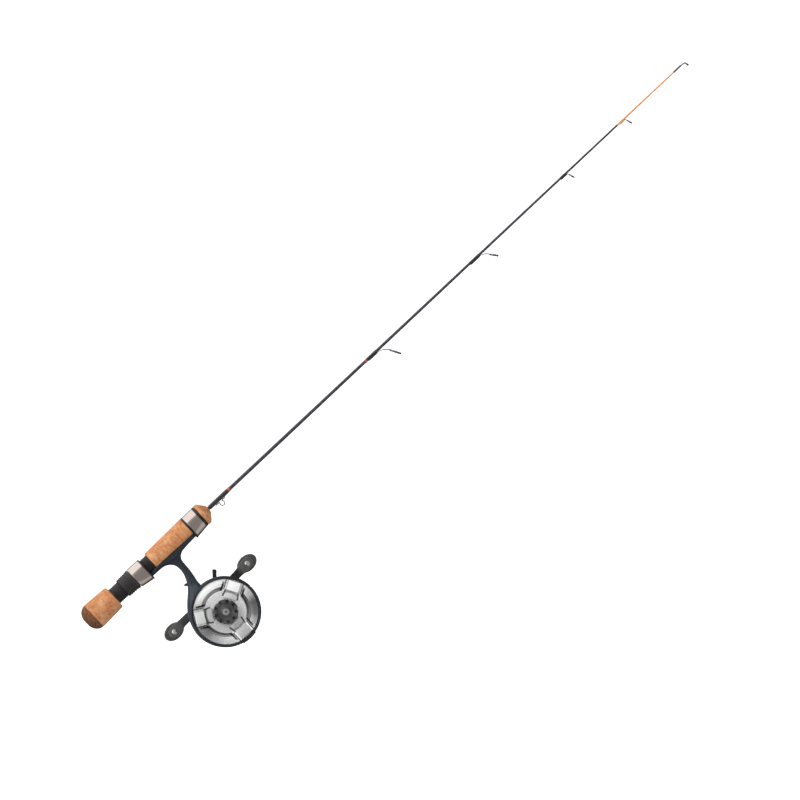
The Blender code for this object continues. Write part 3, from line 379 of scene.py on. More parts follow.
def turned_alloy(name):
    """Bright alloy with turning rings, duller in the hollow; painted highlights, reflections and
    shade round its face and in the hollow, painted shade in the grooves.
    """
    g = Mat(name)
    x, y, z = g.xyz(g.from_spool())
    r = g.length(x, z)

    def rings(offset):
        return g.node("CombineXYZ", {0: r, 1: y, 2: offset}).outputs[0]

    def depth():
        """0 at y = -10, rising 0.05 per mm towards +Y."""
        return g.math("MULTIPLY_ADD", y, 1.0 / 20.0, 0.5)

    lines = g.noise(0.20, detail=3, rough=0.7, at=rings(0.0))
    broad = g.noise(1.3, detail=2, rough=0.6, at=rings(3.0))
    smear = g.noise(6.0, detail=4, rough=0.62, distort=0.5)
    scratch = g.noise(2.0, detail=5, rough=0.75, at=g.scaled(1.0, 1.0, 0.35))
    scratch = g.ramp(scratch, (0.66, 0.0), (0.69, 1.0))
    inside = g.ramp(depth(), (0.095, 0.0), (0.125, 1.0))
    near = g.ramp(g.div(r, 40.0), (0.585, 1.0), (0.60, 0.0))
    hollow_mask = g.mul(inside, near)
    col = g.ramp(smear, (0.3, 0.0), (0.75, 0.16))
    col = g.mix(col, (0.90, 0.90, 0.905), (0.70, 0.70, 0.71))
    col = g.mix(g.ramp(broad, (0.35, 0.0), (0.7, 0.14)), col, (0.60, 0.60, 0.61))

    # painted light and shade that varies round the circle, as whiter and less metallic colour where
    # highlights and reflections fall
    wobble = g.mul(g.sub(smear, 0.5), 0.03)
    turn = g.math("FRACT", g.add(g.angle(z, x), wobble))
    # rim and web: painted light outside and inside a radius of about 18 mm, share by share round the
    # clock
    rim = g.clock(turn, 0.85, 0.72, 1.0, 1.0, 0.35, 0.10, 0.16, 0.62, 0.82, 0.80, 0.10, 0.30)
    web_painted_tone = g.clock(turn, 0.62, 0.65, 0.72, 0.72, 0.48, 0.50, 0.50, 0.50, 0.42, 0.50, 0.66, 0.66)
    pad_painted_tone = g.clock(turn, 1.0, 1.0, 1.0, 0.7, 0.72, 0.72, 0.7, 0.5, 0.50, 0.50, 0.5, 1.0)
    hollow_painted_tone = g.clock(turn, 0.1, 0.2, 0.72, 0.72, 0.2, 0.25, 0.12, 0.42, 0.5, 0.6, 0.5, 0.0)
    reach = g.div(r, 40.0)  # 1 at a radius of 40 mm
    painted_light = g.mix(g.ramp(reach, (0.44, 0.0), (0.455, 1.0)), web_painted_tone, rim)

    # across: distance from the midline of the nearest of the three spokes, 1 at 16 mm
    third = g.sub(g.math("FRACT", g.math("MULTIPLY_ADD", g.angle(z, x), 3.0, 0.25)), 0.5)
    across = g.math("ABSOLUTE", g.math("SINE", g.mul(third, 2 * math.pi / 3)))
    across = g.div(g.mul(r, across), 16.0)
    deep = depth()
    pad = g.ramp(deep, (0.002, 1.0), (0.008, 0.0))
    # painted highlight on the pad edges of the spoke at 270 degrees, painted shade on the flanks of
    # the spokes at 30 and 150
    shoulder_painted_highlight = g.mul(
        g.ramp(across, (0.355, 0.0), (0.38, 1.0)),
        g.clock(turn, 0.0, 0.0, 0.0, 0.0, 0.0, 0.0, 0.0, 1.0, 1.0, 1.0, 1.0, 0.0))
    flank_painted_shade = g.mul(
        g.ramp(across, (0.30, 0.0), (0.335, 1.0)),
        g.clock(turn, 0.5, 0.5, 0.5, 0.5, 0.4, 0.4, 0.3, 0.0, 0.0, 0.0, 0.0, 0.5))
    pad_painted_light = g.math("MAXIMUM", g.mul(pad_painted_tone, g.sub(1.0, flank_painted_shade)), shoulder_painted_highlight)
    painted_light = g.mix(pad, painted_light, pad_painted_light)
    painted_light = g.mul(painted_light, g.ramp(deep, (0.11, 1.0), (0.13, 0.3)))
    painted_light = g.mul(painted_light, g.sub(1.0, hollow_mask))
    bare = g.times(col, (0.52, 0.52, 0.53))
    col = g.mix(painted_light, bare, g.mix(0.8, col, (0.99, 0.99, 0.99)))
    # painted light and shade on the hollow's floor, share by share round the clock
    hollow_painted_colour = g.mix(hollow_painted_tone, (0.20, 0.20, 0.205), (0.86, 0.86, 0.865))
    col = g.mix(g.mul(hollow_mask, 0.92), col, hollow_painted_colour)

    # painted shade in the slots, the window ends and edges and the arc groove, and wherever
    # occlusion finds a hollow
    spool_painted_shade = g.ramp(g.hollows(1.5), (0.36, 1.0), (0.86, 0.0))
    slot_a = g.ramp(deep, (0.0782, 0.0), (0.0795, 1.0), (0.0985, 1.0), (0.0998, 0.0))
    ends = g.mul(
        g.ramp(across, (0.515, 0.0), (0.53, 1.0), (0.635, 1.0), (0.66, 0.0)),
        g.mul(g.ramp(deep, (0.085, 0.0), (0.095, 1.0)),
              g.ramp(reach, (0.45, 0.0), (0.46, 1.0), (0.606, 1.0), (0.611, 0.0))))
    arc_groove_shade = g.mul(
        g.ramp(reach, (0.398, 0.0), (0.415, 0.8), (0.43, 1.0), (0.458, 1.0), (0.463, 0.0)),
        g.ramp(across, (0.40, 1.0), (0.44, 0.0)))
    arc_groove_shade = g.mul(arc_groove_shade, g.clock(
        turn, 0.74, 0.68, 0.0, 0.0, 0.85, 0.95, 0.0, 0.0, 0.55, 0.55, 0.0, 0.0))
    edge = g.mul(
        g.ramp(reach, (0.445, 0.0), (0.46, 1.0), (0.49, 1.0), (0.52, 0.0)),
        g.clock(turn, 0.6, 0.0, 0.0, 0.0, 0.0, 0.0, 0.72, 0.62, 0.0, 0.0, 0.5, 0.75))
    edge = g.mul(edge, g.ramp(across, (0.44, 0.0), (0.52, 1.0)))
    arc_groove_shade = g.math("MAXIMUM", arc_groove_shade, edge)
    slot_b = g.mul(
        g.ramp(deep, (0.0465, 0.0), (0.0478, 1.0), (0.0572, 1.0), (0.0585, 0.0)),
        g.ramp(reach, (0.465, 0.0), (0.47, 1.0)))
    slots = g.math("MAXIMUM", ends, g.math("MAXIMUM", slot_a, slot_b))
    spool_painted_shade = g.math("MAXIMUM", g.math("MAXIMUM", spool_painted_shade, arc_groove_shade), slots)
    # painted dark reflection on the front face, round 180 and round 330 degrees
    painted_dark_reflection = g.mul(
        g.clock(turn, *(0.0,) * 11, 0.30, 0.42, *(0.0,) * 8, 0.50, 0.80, 0.05),
        g.mul(g.ramp(reach, (0.45, 0.0), (0.47, 1.0)),
              g.mul(g.ramp(deep, (0.11, 1.0), (0.13, 0.0)), g.sub(1.0, pad))))
    col = g.mix(painted_dark_reflection, col, (0.10, 0.10, 0.104))
    col = g.mix(g.mul(spool_painted_shade, 0.93), col, (0.022, 0.022, 0.024))

    # the hollow is rougher; the hollow and the places of painted light and painted shade are less
    # metallic
    rough = g.add(g.mul(g.sub(smear, 0.5), 0.16), g.mul(scratch, 0.08))
    rough = g.add(g.add(0.27, rough), g.mul(hollow_mask, 0.25))
    metal = g.sub(g.math("MULTIPLY_ADD", painted_light, -0.88, 0.95), g.mul(hollow_mask, 0.85))
    metal = g.mul(metal, g.math("MULTIPLY_ADD", spool_painted_shade, -0.8, 1.0))
    return g.done(
        color=col, metal=metal, rough=rough, aniso=0.72,
        normal=g.bump(g.sub(lines, g.mul(scratch, 0.3)), depth=0.008, strength=0.5),
        tangent=g.node("Tangent", direction_type="RADIAL", axis="Y").outputs[0])


def gunmetal_arm(name):
    """Dark anodised metal, with painted shade in the two bends of the arm."""
    g = Mat(name)
    out = g.div(g.math("ABSOLUTE", g.xyz(g.moved(-CRANK[0], 0.0, 0.0))[0]), 60.0)
    smear = g.noise(5.0, detail=4, rough=0.62, distort=0.5)
    bend_painted_shade = g.ramp(
        g.add(out, g.mul(g.sub(smear, 0.5), 0.06)),
        (0.34, 0.0), (0.42, 1.0), (0.53, 1.0), (0.60, 0.0))
    lines = g.noise(0.3, detail=3, rough=0.7, at=g.scaled(0.08, 1.0, 1.0))
    scratch = g.noise(2.2, detail=5, rough=0.75, at=g.scaled(0.5, 1.0, 1.9))
    scratch = g.ramp(scratch, (0.655, 0.0), (0.69, 1.0))
    col = g.ramp(smear, (0.3, 0.0), (0.75, 0.5))
    col = g.mix(col, (0.235, 0.235, 0.235), (0.16, 0.16, 0.162))
    # painted shade in the bends
    col = g.mix(g.mul(bend_painted_shade, 0.85), col, (0.035, 0.035, 0.037))
    col = g.mix(g.mul(scratch, 0.25), col, (0.38, 0.38, 0.38))
    return g.done(
        color=col, metal=0.9, rough=g.add(0.30, g.mul(smear, 0.12)),
        normal=g.bump(lines, depth=0.010, strength=0.5))


def rubbery(name):
    """Grey soft-touch plastic with a little dust."""
    g = Mat(name)
    fine = g.noise(0.30, detail=2, rough=0.6)
    wide = g.noise(5.0, detail=3, rough=0.6)
    col = g.ramp(wide, (0.3, 0.0), (0.7, 1.0))
    col = g.mix(col, (0.060, 0.060, 0.060), (0.085, 0.085, 0.084))
    col = g.times(col, g.ramp(fine, (0.3, 0.88), (0.7, 1.12)))
    dust = g.ramp(g.noise(1.1, detail=4, rough=0.7), (0.60, 0.0), (0.78, 0.25))
    col = g.mix(dust, col, (0.17, 0.165, 0.16))
    return g.done(
        color=col, rough=g.ramp(wide, (0.3, 0.62), (0.7, 0.50)), spec=0.35,
        normal=g.bump(fine, depth=0.05, strength=0.7))


def ceramic(name):
    g = Mat(name)
    col = g.ramp(g.noise(1.5, detail=2), (0.3, (0.012, 0.012, 0.013)), (0.7, (0.026, 0.026, 0.027)))
    rough = g.ramp(g.noise(3.0, detail=2), (0.3, 0.10), (0.7, 0.2))
    return g.done(color=col, rough=rough, coat=0.6, coat_rough=0.04)


CORK_BUTT = cork("cork_butt", shade=0.84, seed=1.0)
CORK_MID = cork("cork_mid", shade=0.87, seed=2.3)
CORK_NOSE = cork("cork_nose", shade=0.82, seed=4.1)
CORK_DARK = cork_composite("cork_composite")
BLACK = black_plastic("seat_black", lift=0.8)
BLACK_RIBBED = black_plastic("nut_black", lift=1.5, rough=0.5, shade="ribs")
BLACK_GLOSS = black_plastic("trim_black", lift=0.7, rough=0.30)
SILVER = polished("hood_silver", (0.66, 0.57, 0.53), rough=0.16, brush="axis")
KEEPER = polished("keeper_steel", (0.26, 0.26, 0.27), rough=0.30)
CARBON = carbon("blank_carbon")
ORANGE = lacquer("tip_orange", (0.93, 0.25, 0.045), (1.0, 0.36, 0.09))
ORANGE_WRAP = lacquer("wrap_orange", (0.95, 0.33, 0.08), (1.0, 0.46, 0.14), thread=0.24)
RED = lacquer("band_red", (0.50, 0.055, 0.025), (0.66, 0.10, 0.045), thread=0.24)
WRAP = lacquer("wrap_black", (0.006, 0.006, 0.008), (0.015, 0.014, 0.017), thread=0.24)
GUIDE = polished("guide_gunmetal", (0.20, 0.20, 0.215), rough=0.20, mark=0.2)
STEEL = polished("steel", (0.70, 0.70, 0.70), rough=0.20)
RIVET = polished("rivet_steel", (0.90, 0.90, 0.89), rough=0.16, mark=0.05)
BRASS = polished("brass", (0.78, 0.53, 0.21), rough=0.26)
FRAME = painted("frame_blue_grey", wear=0.5)
COVER = painted("cover_blue_grey", wear=0.0)
ALLOY = turned_alloy("spool_alloy")
GUNMETAL = gunmetal_arm("crank_gunmetal")
KNOB = black_plastic("knob_black", lift=3.9, rough=0.36, shade="knob")
KNOB_CAP = polished("knob_cap", (0.72, 0.72, 0.725), rough=0.3, brush="spool", mark=0.2)
PADDLE = rubbery("paddle_grey")
CERAMIC = ceramic("ceramic_black")


# ================================================================ objects from meshes
def shade(mesh, smooth):
    mesh.shade_smooth()
    if smooth:
        mesh.set_sharp_from_angle(angle=math.radians(smooth))


def obj_from(bm, name, smooth=32):
    """An object from a bmesh in mm; edges steeper than smooth degrees are sharp."""
    bmesh.ops.remove_doubles(bm, verts=bm.verts, dist=1e-5)
    bmesh.ops.recalc_face_normals(bm, faces=bm.faces)
    for v in bm.verts:
        v.co *= MM
    mesh = bpy.data.meshes.new(name)
    bm.to_mesh(mesh)
    bm.free()
    shade(mesh, smooth)
    ob = bpy.data.objects.new(name, mesh)
    bpy.context.scene.collection.objects.link(ob)
    return ob


def remove(ob):
    mesh = ob.data
    bpy.data.objects.remove(ob, do_unlink=True)
    bpy.data.meshes.remove(mesh)


def close_slits(mesh):
    """Joins the edges of any slit a few microns wide that a cut or a bevel has left open."""
    bm = bmesh.new()
    bm.from_mesh(mesh)
    rim = {v for e in bm.edges if len(e.link_faces) == 1 for v in e.verts}
    if rim:
        bmesh.ops.remove_doubles(bm, verts=list(rim), dist=0.008 * MM)
        still_open = [e for e in bm.edges if len(e.link_faces) == 1]
        if still_open:
            bmesh.ops.holes_fill(bm, edges=still_open, sides=24)
    flat = [f for f in bm.faces if f.calc_area() < 1e-14]
    if flat:
        edges = list({e for f in flat for e in f.edges})
        bmesh.ops.dissolve_degenerate(bm, edges=edges, dist=0.0008 * MM)
    # corners that a bevel left on top of each other become one, where the surface stays closed
    joined = bm.copy()
    bmesh.ops.remove_doubles(joined, verts=joined.verts, dist=0.0004 * MM)
    shut = all(len(e.link_faces) == 2 for e in joined.edges)
    (joined if shut else bm).to_mesh(mesh)
    joined.free()
    bm.free()


def bake_mods(ob, smooth):
    """Applies every modifier, so that the piece is plain geometry."""
    graph = bpy.context.evaluated_depsgraph_get()
    graph.update()
    mesh = bpy.data.meshes.new_from_object(ob.evaluated_get(graph), depsgraph=graph)
    close_slits(mesh)
    old = ob.data
    ob.modifiers.clear()
    ob.data = mesh
    bpy.data.meshes.remove(old)
    shade(mesh, smooth)


def joins(*meshes):
    return [("UNION", bm) for bm in meshes]


def cuts(*meshes):
    return [("DIFFERENCE", bm) for bm in meshes]


def carve(ob, steps, smooth=32):
    """Joins and cuts, in order."""
    tools = []
    for kind, bm in steps:
        tool = obj_from(bm, "tool")
        mod = ob.modifiers.new("b", "BOOLEAN")
        mod.operation, mod.solver, mod.object = kind, "EXACT", tool
        tools.append(tool)
    bake_mods(ob, smooth)
    for tool in tools:
        remove(tool)
    return ob


def soften(ob, width, segments=3, angle=40, smooth=40):
    """Rounds the edges steeper than the angle."""
    weld = ob.modifiers.new("w", "WELD")
    weld.merge_threshold = 0.004 * MM
    bevel = ob.modifiers.new("e", "BEVEL")
    bevel.width, bevel.segments = width * MM, segments
    bevel.limit_method, bevel.angle_limit = "ANGLE", math.radians(angle)
    bevel.use_clamp_overlap = True
    bevel.harden_normals = False
    bake_mods(ob, smooth)
    return ob


def whole(ob):
    """A finished object's mesh back as a bmesh in mm, and the object gone."""
    bm = bmesh.new()
    bm.from_mesh(ob.data)
    for v in bm.verts:
        v.co /= MM
    remove(ob)
    return bm


def finish(ob, mat, body="rod"):
    """Gives the material and the moving body; an object "x_v" stands in for the CAD piece x."""
    ob.data.materials.clear()
    ob.data.materials.append(mat)
    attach(ob, body)
    if ob.name.endswith("_v"):
        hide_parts(ob.name[:-2])


def piece(bm, name, mat, body="rod", smooth=50):
    finish(obj_from(bm, name + "_v", smooth), mat, body)


# ================================================================ lines and outlines
def step(t):
    t = max(0.0, min(1.0, t))
    return t * t * (3 - 2 * t)


def along(table, x):
    """The table's value at x, between its (x, value) rows."""
    for (x0, r0), (x1, r1) in zip(table, table[1:]):
        if x <= x1:
            return r0 + (r1 - r0) * (x - x0) / (x1 - x0)
    return table[-1][1]


def rounded(points, radius):
    """The section with its corners rounded; a point's third value is its own radius."""
    out = []
    for i, p in enumerate(points):
        rad = p[2] if len(p) > 2 else radius
        a, b, c = (Vector(q[:2]) for q in (points[i - 1], p, points[(i + 1) % len(points)]))
        u, v = a - b, c - b
        if rad <= 0 or p[1] < 1e-9 or u.length < 1e-6 or v.length < 1e-6:
            out.append((p[0], p[1]))
            continue
        d = min(rad, u.length * 0.45, v.length * 0.45)
        p0, p2 = b + u.normalized() * d, b + v.normalized() * d
        for j in range(4):
            t = j / 3
            q = p0 * (1 - t) ** 2 + b * 2 * t * (1 - t) + p2 * t * t
            out.append((q.x, q.y))
    return out


def curve(points, k):
    """A smooth line through the points, k steps between each two."""
    out = []
    last = len(points) - 1
    for i in range(last):
        p0, p1, p2, p3 = (Vector(points[max(0, min(last, j))]) for j in (i - 1, i, i + 1, i + 2))
        for j in range(k):
            t = j / k
            out.append(tuple(0.5 * (
                (2 * p1) + (p2 - p0) * t + (2 * p0 - 5 * p1 + 4 * p2 - p3) * t * t
                + (3 * p1 - p0 - 3 * p2 + p3) * t ** 3)))
    out.append(tuple(points[-1]))
    return out


def at(centre, r, deg):
    t = math.radians(deg)
    return (centre[0] + r * math.cos(t), centre[1] + r * math.sin(t))


def arc(centre, r, deg0, deg1, steps):
    return [at(centre, r, deg0 + (deg1 - deg0) * k / steps) for k in range(steps + 1)]


def hexagon(centre, r):
    return [at(centre, r, deg) for deg in range(0, 360, 60)]


def ellipse(centre, y, rx, rz, n):
    angles = (TURN * i / n for i in range(n))
    return [(centre[0] + rx * math.cos(a), y, centre[1] + rz * math.sin(a)) for a in angles]


# ================================================================ solids
def skin(stations, closed=False):
    """Rings joined by faces, closed on themselves or capped; a ring of one point is a pole."""
    bm = bmesh.new()
    n = max(len(ring) for ring in stations)
    rings = []
    for ring in stations:
        verts = [bm.verts.new(p) for p in ring]
        rings.append(verts * n if len(verts) == 1 else verts)
    for p, q in zip(rings, rings[1:] + rings[:1] if closed else rings[1:]):
        for i in range(n):
            j = (i + 1) % n
            corners = list(dict.fromkeys((p[i], p[j], q[j], q[i])))
            if len(corners) > 2:
                bm.faces.new(corners)
    if not closed:
        bm.faces.new(rings[0][::-1])
        bm.faces.new(rings[-1])
    return bm


def lathe(profile, n=96, axis="X", centre=(0.0, 0.0), radius=None):
    """Turns a closed profile of (place along the axis, radius) about X or Y.

    radius(a, r, angle) may change each point's radius.
    """
    stations = []
    for a, r in profile:
        ring = []
        for i in range(n if r >= 1e-9 else 1):
            t = TURN * i / n
            rr = radius(a, r, t) if radius and r >= 1e-9 else r
            if r < 1e-9:
                rr = 0.0
            u, v = centre[0] + rr * math.cos(t), centre[1] + rr * math.sin(t)
            ring.append((a, u, v) if axis == "X" else (u, a, v))
        stations.append(ring)
    return skin(stations, closed=True)


def lathe_y(profile, centre, n):
    return lathe(profile, n, "Y", centre)


def drum(y0, y1, r, centre=SPOOL, n=64):
    return lathe_y([(y0, r), (y1, r), (y1, 0.0), (y0, 0.0)], centre, n)


def sleeve(xs, outer, inner, n=128):
    """A sleeve round the rod; its radii depend on x and the angle from straight down."""
    bm = bmesh.new()
    out, inn = [], []
    for x in xs:
        a, b = [], []
        for i in range(n):
            t = TURN * i / n
            off = abs((t + math.pi) % TURN - math.pi)
            for ring, radius in ((a, outer), (b, inner)):
                r = radius(x, off)
                ring.append(bm.verts.new((x, r * math.sin(t), -r * math.cos(t))))
        out.append(a)
        inn.append(b)
    for k in range(len(xs) - 1):
        for i in range(n):
            j = (i + 1) % n
            bm.faces.new((out[k][i], out[k][j], out[k + 1][j], out[k + 1][i]))
            bm.faces.new((inn[k][i], inn[k + 1][i], inn[k + 1][j], inn[k][j]))
    for k in (0, len(xs) - 1):
        for i in range(n):
            j = (i + 1) % n
            bm.faces.new((out[k][i], inn[k][i], inn[k][j], out[k][j]))
    return bm


def prism(outline, y0, y1):
    bm = bmesh.new()
    face = bm.faces.new([bm.verts.new((x, y0, z)) for x, z in outline])
    made = bmesh.ops.extrude_face_region(bm, geom=[face])
    for v in made["geom"]:
        if isinstance(v, bmesh.types.BMVert):
            v.co.y = y1
    return bm


def sector(r0, r1, deg0, deg1, y0, y1, steps):
    """Part of a ring about the spool's axis."""
    inner = arc(SPOOL, r0, deg0, deg1, steps)
    return prism(arc(SPOOL, r1, deg0, deg1, steps) + inner[::-1], y0, y1)


def sweep(points, radius, n):
    """A rod along the points; radius is one number or one for each point."""
    pts = [Vector(p) for p in points]
    rings = []
    up = Vector((0, 1, 0))
    for i, p in enumerate(pts):
        d = (pts[min(i + 1, len(pts) - 1)] - pts[max(i - 1, 0)]).normalized()
        side = up.cross(d)
        side.normalize()
        up = d.cross(side).normalized()
        r = radius[i] if isinstance(radius, list) else radius
        angles = (TURN * k / n for k in range(n))
        rings.append([p + r * (side * math.cos(a) + up * math.sin(a)) for a in angles])
    return skin(rings)


def leaning(deg):
    """For a ring leaning by deg: its lowest direction, and its normal."""
    t = math.radians(deg)
    return Vector((math.sin(t), 0, -math.cos(t))), Vector((math.cos(t), 0, math.sin(t)))


def hoop(half, r_out, r_in, centre, down, normal, n):
    """A ring of rounded section, half thick to each side of its centre plane."""
    mid, half_wall = (r_out + r_in) / 2, (r_out - r_in) / 2
    across = Vector((0, 1, 0))
    rings = []
    for k in range(14):
        t = TURN * k / 14
        c, s = math.cos(t), math.sin(t)
        h = half * math.copysign(abs(s) ** 0.8, s)
        r = mid + half_wall * math.copysign(abs(c) ** 0.8, c)
        angles = (TURN * i / n for i in range(n))
        rings.append([
            centre + normal * h + r * (down * math.cos(a) + across * math.sin(a))
            for a in angles])
    return skin(rings, closed=True)


# ================================================================ butt
BUTT_CAP = [(0.0, 4.0), (0.9, 6.6), (2.2, 8.8), (4.0, 10.55), (6.2, 11.75), (8.3, 12.22)]
piece(lathe([(0, 0)] + curve(BUTT_CAP, 6) + [(8.53, 12.1), (8.53, 0)]),
      "butt_cap", CORK_DARK, smooth=45)
BUTT_GRIP = [
    (8.9, 12.28), (12, 12.3), (22, 11.8), (30.6, 11.32), (31.9, 11.1), (32.7, 10.7), (33.0, 10.2)]
BUTT_BORE = [(33.0, TUBE_R), (12.3, TUBE_R), (12.3, 2.1), (8.65, 2.1)]
piece(lathe([(8.65, 12.05)] + curve(BUTT_GRIP, 6) + BUTT_BORE),
      "butt_grip", CORK_BUTT, smooth=40)


# ================================================================ reel seat
def seat_barrel():
    """The seat tube: a helical thread where it's bare, plain under the cork and front hood."""
    thread_x0, thread_x1, ridge_r, groove = 33.3, 76.6, 7.88, 0.52
    rear = [(12.8, 2.0), (12.8, 5.4), (33.15, 5.4), (33.15, 7.2)]
    front = [(76.8, 7.7), (77.0, 7.5), (77.0, 5.4), (120.17, 5.4), (120.17, 7.9),
             (133.06, 7.9), (133.06, 5.4), (140.0, 4.5), (140.0, 2.0)]
    thread = [(thread_x0 + THREAD_PITCH / 12 * k, ridge_r) for k in range(315)]

    def tooth(x, r, t):
        if not thread_x0 <= x < thread_x1:
            return r
        phase = (x / THREAD_PITCH - t / TURN) % 1.0
        wave = 1 - abs(2 * phase - 1)
        fade = step((x - 33.2) / 1.5) * step((76.8 - x) / 1.5)
        return r - groove * fade * (1 - step(wave * 1.25 - 0.05))

    return lathe(rear + thread + front, n=72, radius=tooth)


def lock_nut():
    """Five rolled rings with a plain collar at the +X end."""
    x0, x1, pitch = 43.6, 53.6, 2.0
    # part of the pitch, rise over the cone
    ring = ((0.0, -0.55), (0.12, -0.5), (0.30, -0.02), (0.42, 0.05), (0.72, 0.05), (0.84, -0.02))
    profile = [(43.2, 8.25), (43.2, 8.7), (43.45, 8.95)]
    for k in range(5):
        x = x0 + pitch * k
        cone = 9.12 + 0.36 * (x - 43.2) / 12.9
        profile += [(x + part * pitch, cone + rise) for part, rise in ring]
    profile += [
        (53.75, 9.15), (53.95, 9.5), (54.15, 9.64), (55.8, 9.65), (56.05, 9.5), (56.1, 9.3),
        (56.1, 8.25)]

    def knurl(x, r, t):
        return r - (0.12 * (0.5 + 0.5 * math.cos(48 * t)) if x0 < x < x1 else 0)

    return lathe(profile, n=128, radius=knurl)


piece(seat_barrel(), "seat_barrel", BLACK)
piece(lock_nut(), "seat_nut", BLACK_RIBBED, "lock_nut")


def pocket(off):
    """1 in the hood's pocket for the foot, fading out to its sides."""
    return 1 - step((math.degrees(off) - 41) / (60 - 41))


def bulge(off):
    return 1 - step((math.degrees(off) - 34) / 42)


def lip(x, x0, x1, r):
    """How much the outer face drops near either end, for a rounded edge."""
    d = min(x - x0, x1 - x)
    return 0.0 if d >= r else r * (1 - math.sqrt(max(0.0, 1 - ((r - d) / r) ** 2)))


def hood(name, mat, body, x0, x1, outer, inner, edge=0.35, extra=()):
    """A sleeve whose ends are rounded by the edge radius; extra adds stations in x."""
    near = [0, 0.02, 0.06, 0.12, 0.2, 0.28, edge]
    xs = {round(x0 + d, 4) for d in near} | {round(x1 - d, 4) for d in near} | set(extra)
    xs |= {round(x0 + edge + (x1 - x0 - 2 * edge) * k / 8, 4) for k in range(9)}
    solid = sleeve(sorted(xs), lambda x, off: outer(x, off) - lip(x, x0, x1, edge), inner)
    piece(solid, name, mat, body, smooth=40)


JOINT = 0.12  # gap between a hood and its trim
REAR_X0, REAR_TRIM_X0, REAR_X1 = 56.4, 68.7, 69.8


def rear_outer(x, off):
    t = (x - REAR_X0) / (REAR_X1 - REAR_X0)
    return 9.62 + (0.5 + 2.25 * t) * bulge(off) * step((x - REAR_X0 + 1.2) / 3.2)


def rear_inner(x, off):
    return SADDLE_R + 1.95 * pocket(off) * step((x - 58.7) / 1.1)


hood("rear_hood", SILVER, "sliding_hood", REAR_X0, REAR_TRIM_X0 - JOINT, rear_outer, rear_inner,
     extra=(58.7, 59.0, 59.3, 59.6, 59.8))
hood("rear_hood_trim", BLACK_GLOSS, "sliding_hood", REAR_TRIM_X0, REAR_X1,
     lambda x, off: rear_outer(x, off) + 0.05, rear_inner, edge=0.28)


def channel(x, off):
    """The mid grip's outside, with a channel along its underside for the reel foot."""
    x0, x1, channel_r, half_angle = 77.15, 120.05, 8.1, 49.3
    r = 9.35 + 0.95 * (x - x0) / 42.9
    e = lip(x, x0, x1, 0.6)
    return r - e + (channel_r - r + e) * (1 - step((math.degrees(off) - half_angle) / 3.0))


MID_XS = [77.15, 77.2, 77.3, 77.45, 77.6, 77.8, 82, 88, 94, 100, 106, 112, 117,
          119.4, 119.6, 119.75, 119.9, 120.0, 120.05]
piece(sleeve(MID_XS, channel, lambda x, off: TUBE_R, 180), "mid_grip", CORK_MID, smooth=40)

FRONT_X0, FRONT_HOOD_X0, FRONT_TRIM_X0, FRONT_X1 = 120.2, 121.8, 133.3, 135.55


def front_outer(x, off):
    t = (FRONT_X1 - x) / (FRONT_X1 - FRONT_X0)
    return 10.15 + (0.05 + 1.75 * t) * bulge(off)


def front_inner(x, off):
    return 8.2 + 1.95 * pocket(off) * (1 - step((x - 129.6) / 1.1))


hood("front_hood_rear_trim", BLACK_GLOSS, "rod", FRONT_X0, FRONT_HOOD_X0 - JOINT,
     lambda x, off: front_outer(x, off) + 0.1, front_inner, edge=0.3)
hood("front_hood", SILVER, "rod", FRONT_HOOD_X0, FRONT_TRIM_X0 - JOINT, front_outer,
     front_inner, extra=(129.6, 129.9, 130.2, 130.5, 130.7))
hood("front_hood_front_trim", BLACK_GLOSS, "rod", FRONT_TRIM_X0, FRONT_X1 - JOINT,
     lambda x, off: 10.3, lambda x, off: TUBE_R)

NOSE = [(135.95, 10.35), (136.6, 10.45), (138.0, 10.42), (138.7, 10.15), (139.6, 9.4),
        (141.6, 6.9), (142.9, 5.2), (143.9, 4.1), (144.3, 3.4)]
NOSE_BORE = [(144.4, 2.9), (144.4, 1.95), (140.3, 1.95), (140.3, TUBE_R), (135.7, TUBE_R)]
piece(lathe([(135.7, 10.1)] + curve(NOSE, 5) + NOSE_BORE), "nose_grip", CORK_NOSE, smooth=40)

# ================================================================ blank, tip, wraps, keeper
xs = [10.0] + [12.0 + 6.0 * k for k in range(103)] + [629.6]
skinline = [(x, along(BLANK, x) + (0.0 if x < 140 else 0.12)) for x in xs]
piece(lathe([(10.0, 0)] + skinline + [(629.6, 0)], n=36), "blank", CARBON)
xs = [629.75 + 72.25 * k / 16 for k in range(17)]
skinline = [(x, along(TIP, x) + 0.11) for x in xs]
piece(lathe([(629.75, 0)] + skinline + [(702.0, 0)], n=32), "tip_section", ORANGE)


def blank_r(x):
    return along(BLANK if x < 629.7 else TIP, x)


def swell(x, x0, x1, run):
    return step((x - x0) / run) * step((x1 - x) / run)


def epoxy(x0, x1, base, rise, bore, run, n, k):
    """Thread under a lens of epoxy that thins out over run at both ends."""
    xs = [x0 + (x1 - x0) * i / k for i in range(k + 1)]
    top = [(x, base + rise * swell(x, x0 - 0.25, x1 + 0.25, run)) for x in xs]
    return lathe(top + [(x1, bore), (x0, bore)], n=n)


piece(epoxy(145.6, 167.3, base=1.86, rise=0.25, bore=1.78, run=1.8, n=44, k=44),
      "keeper_wrap", WRAP)
piece(epoxy(167.5, 169.7, base=1.80, rise=0.16, bore=1.70, run=0.5, n=40, k=14),
      "keeper_band", RED)
piece(epoxy(330.3, 332.1, base=1.50, rise=0.13, bore=1.42, run=0.5, n=40, k=14),
      "guide_1_band", RED)

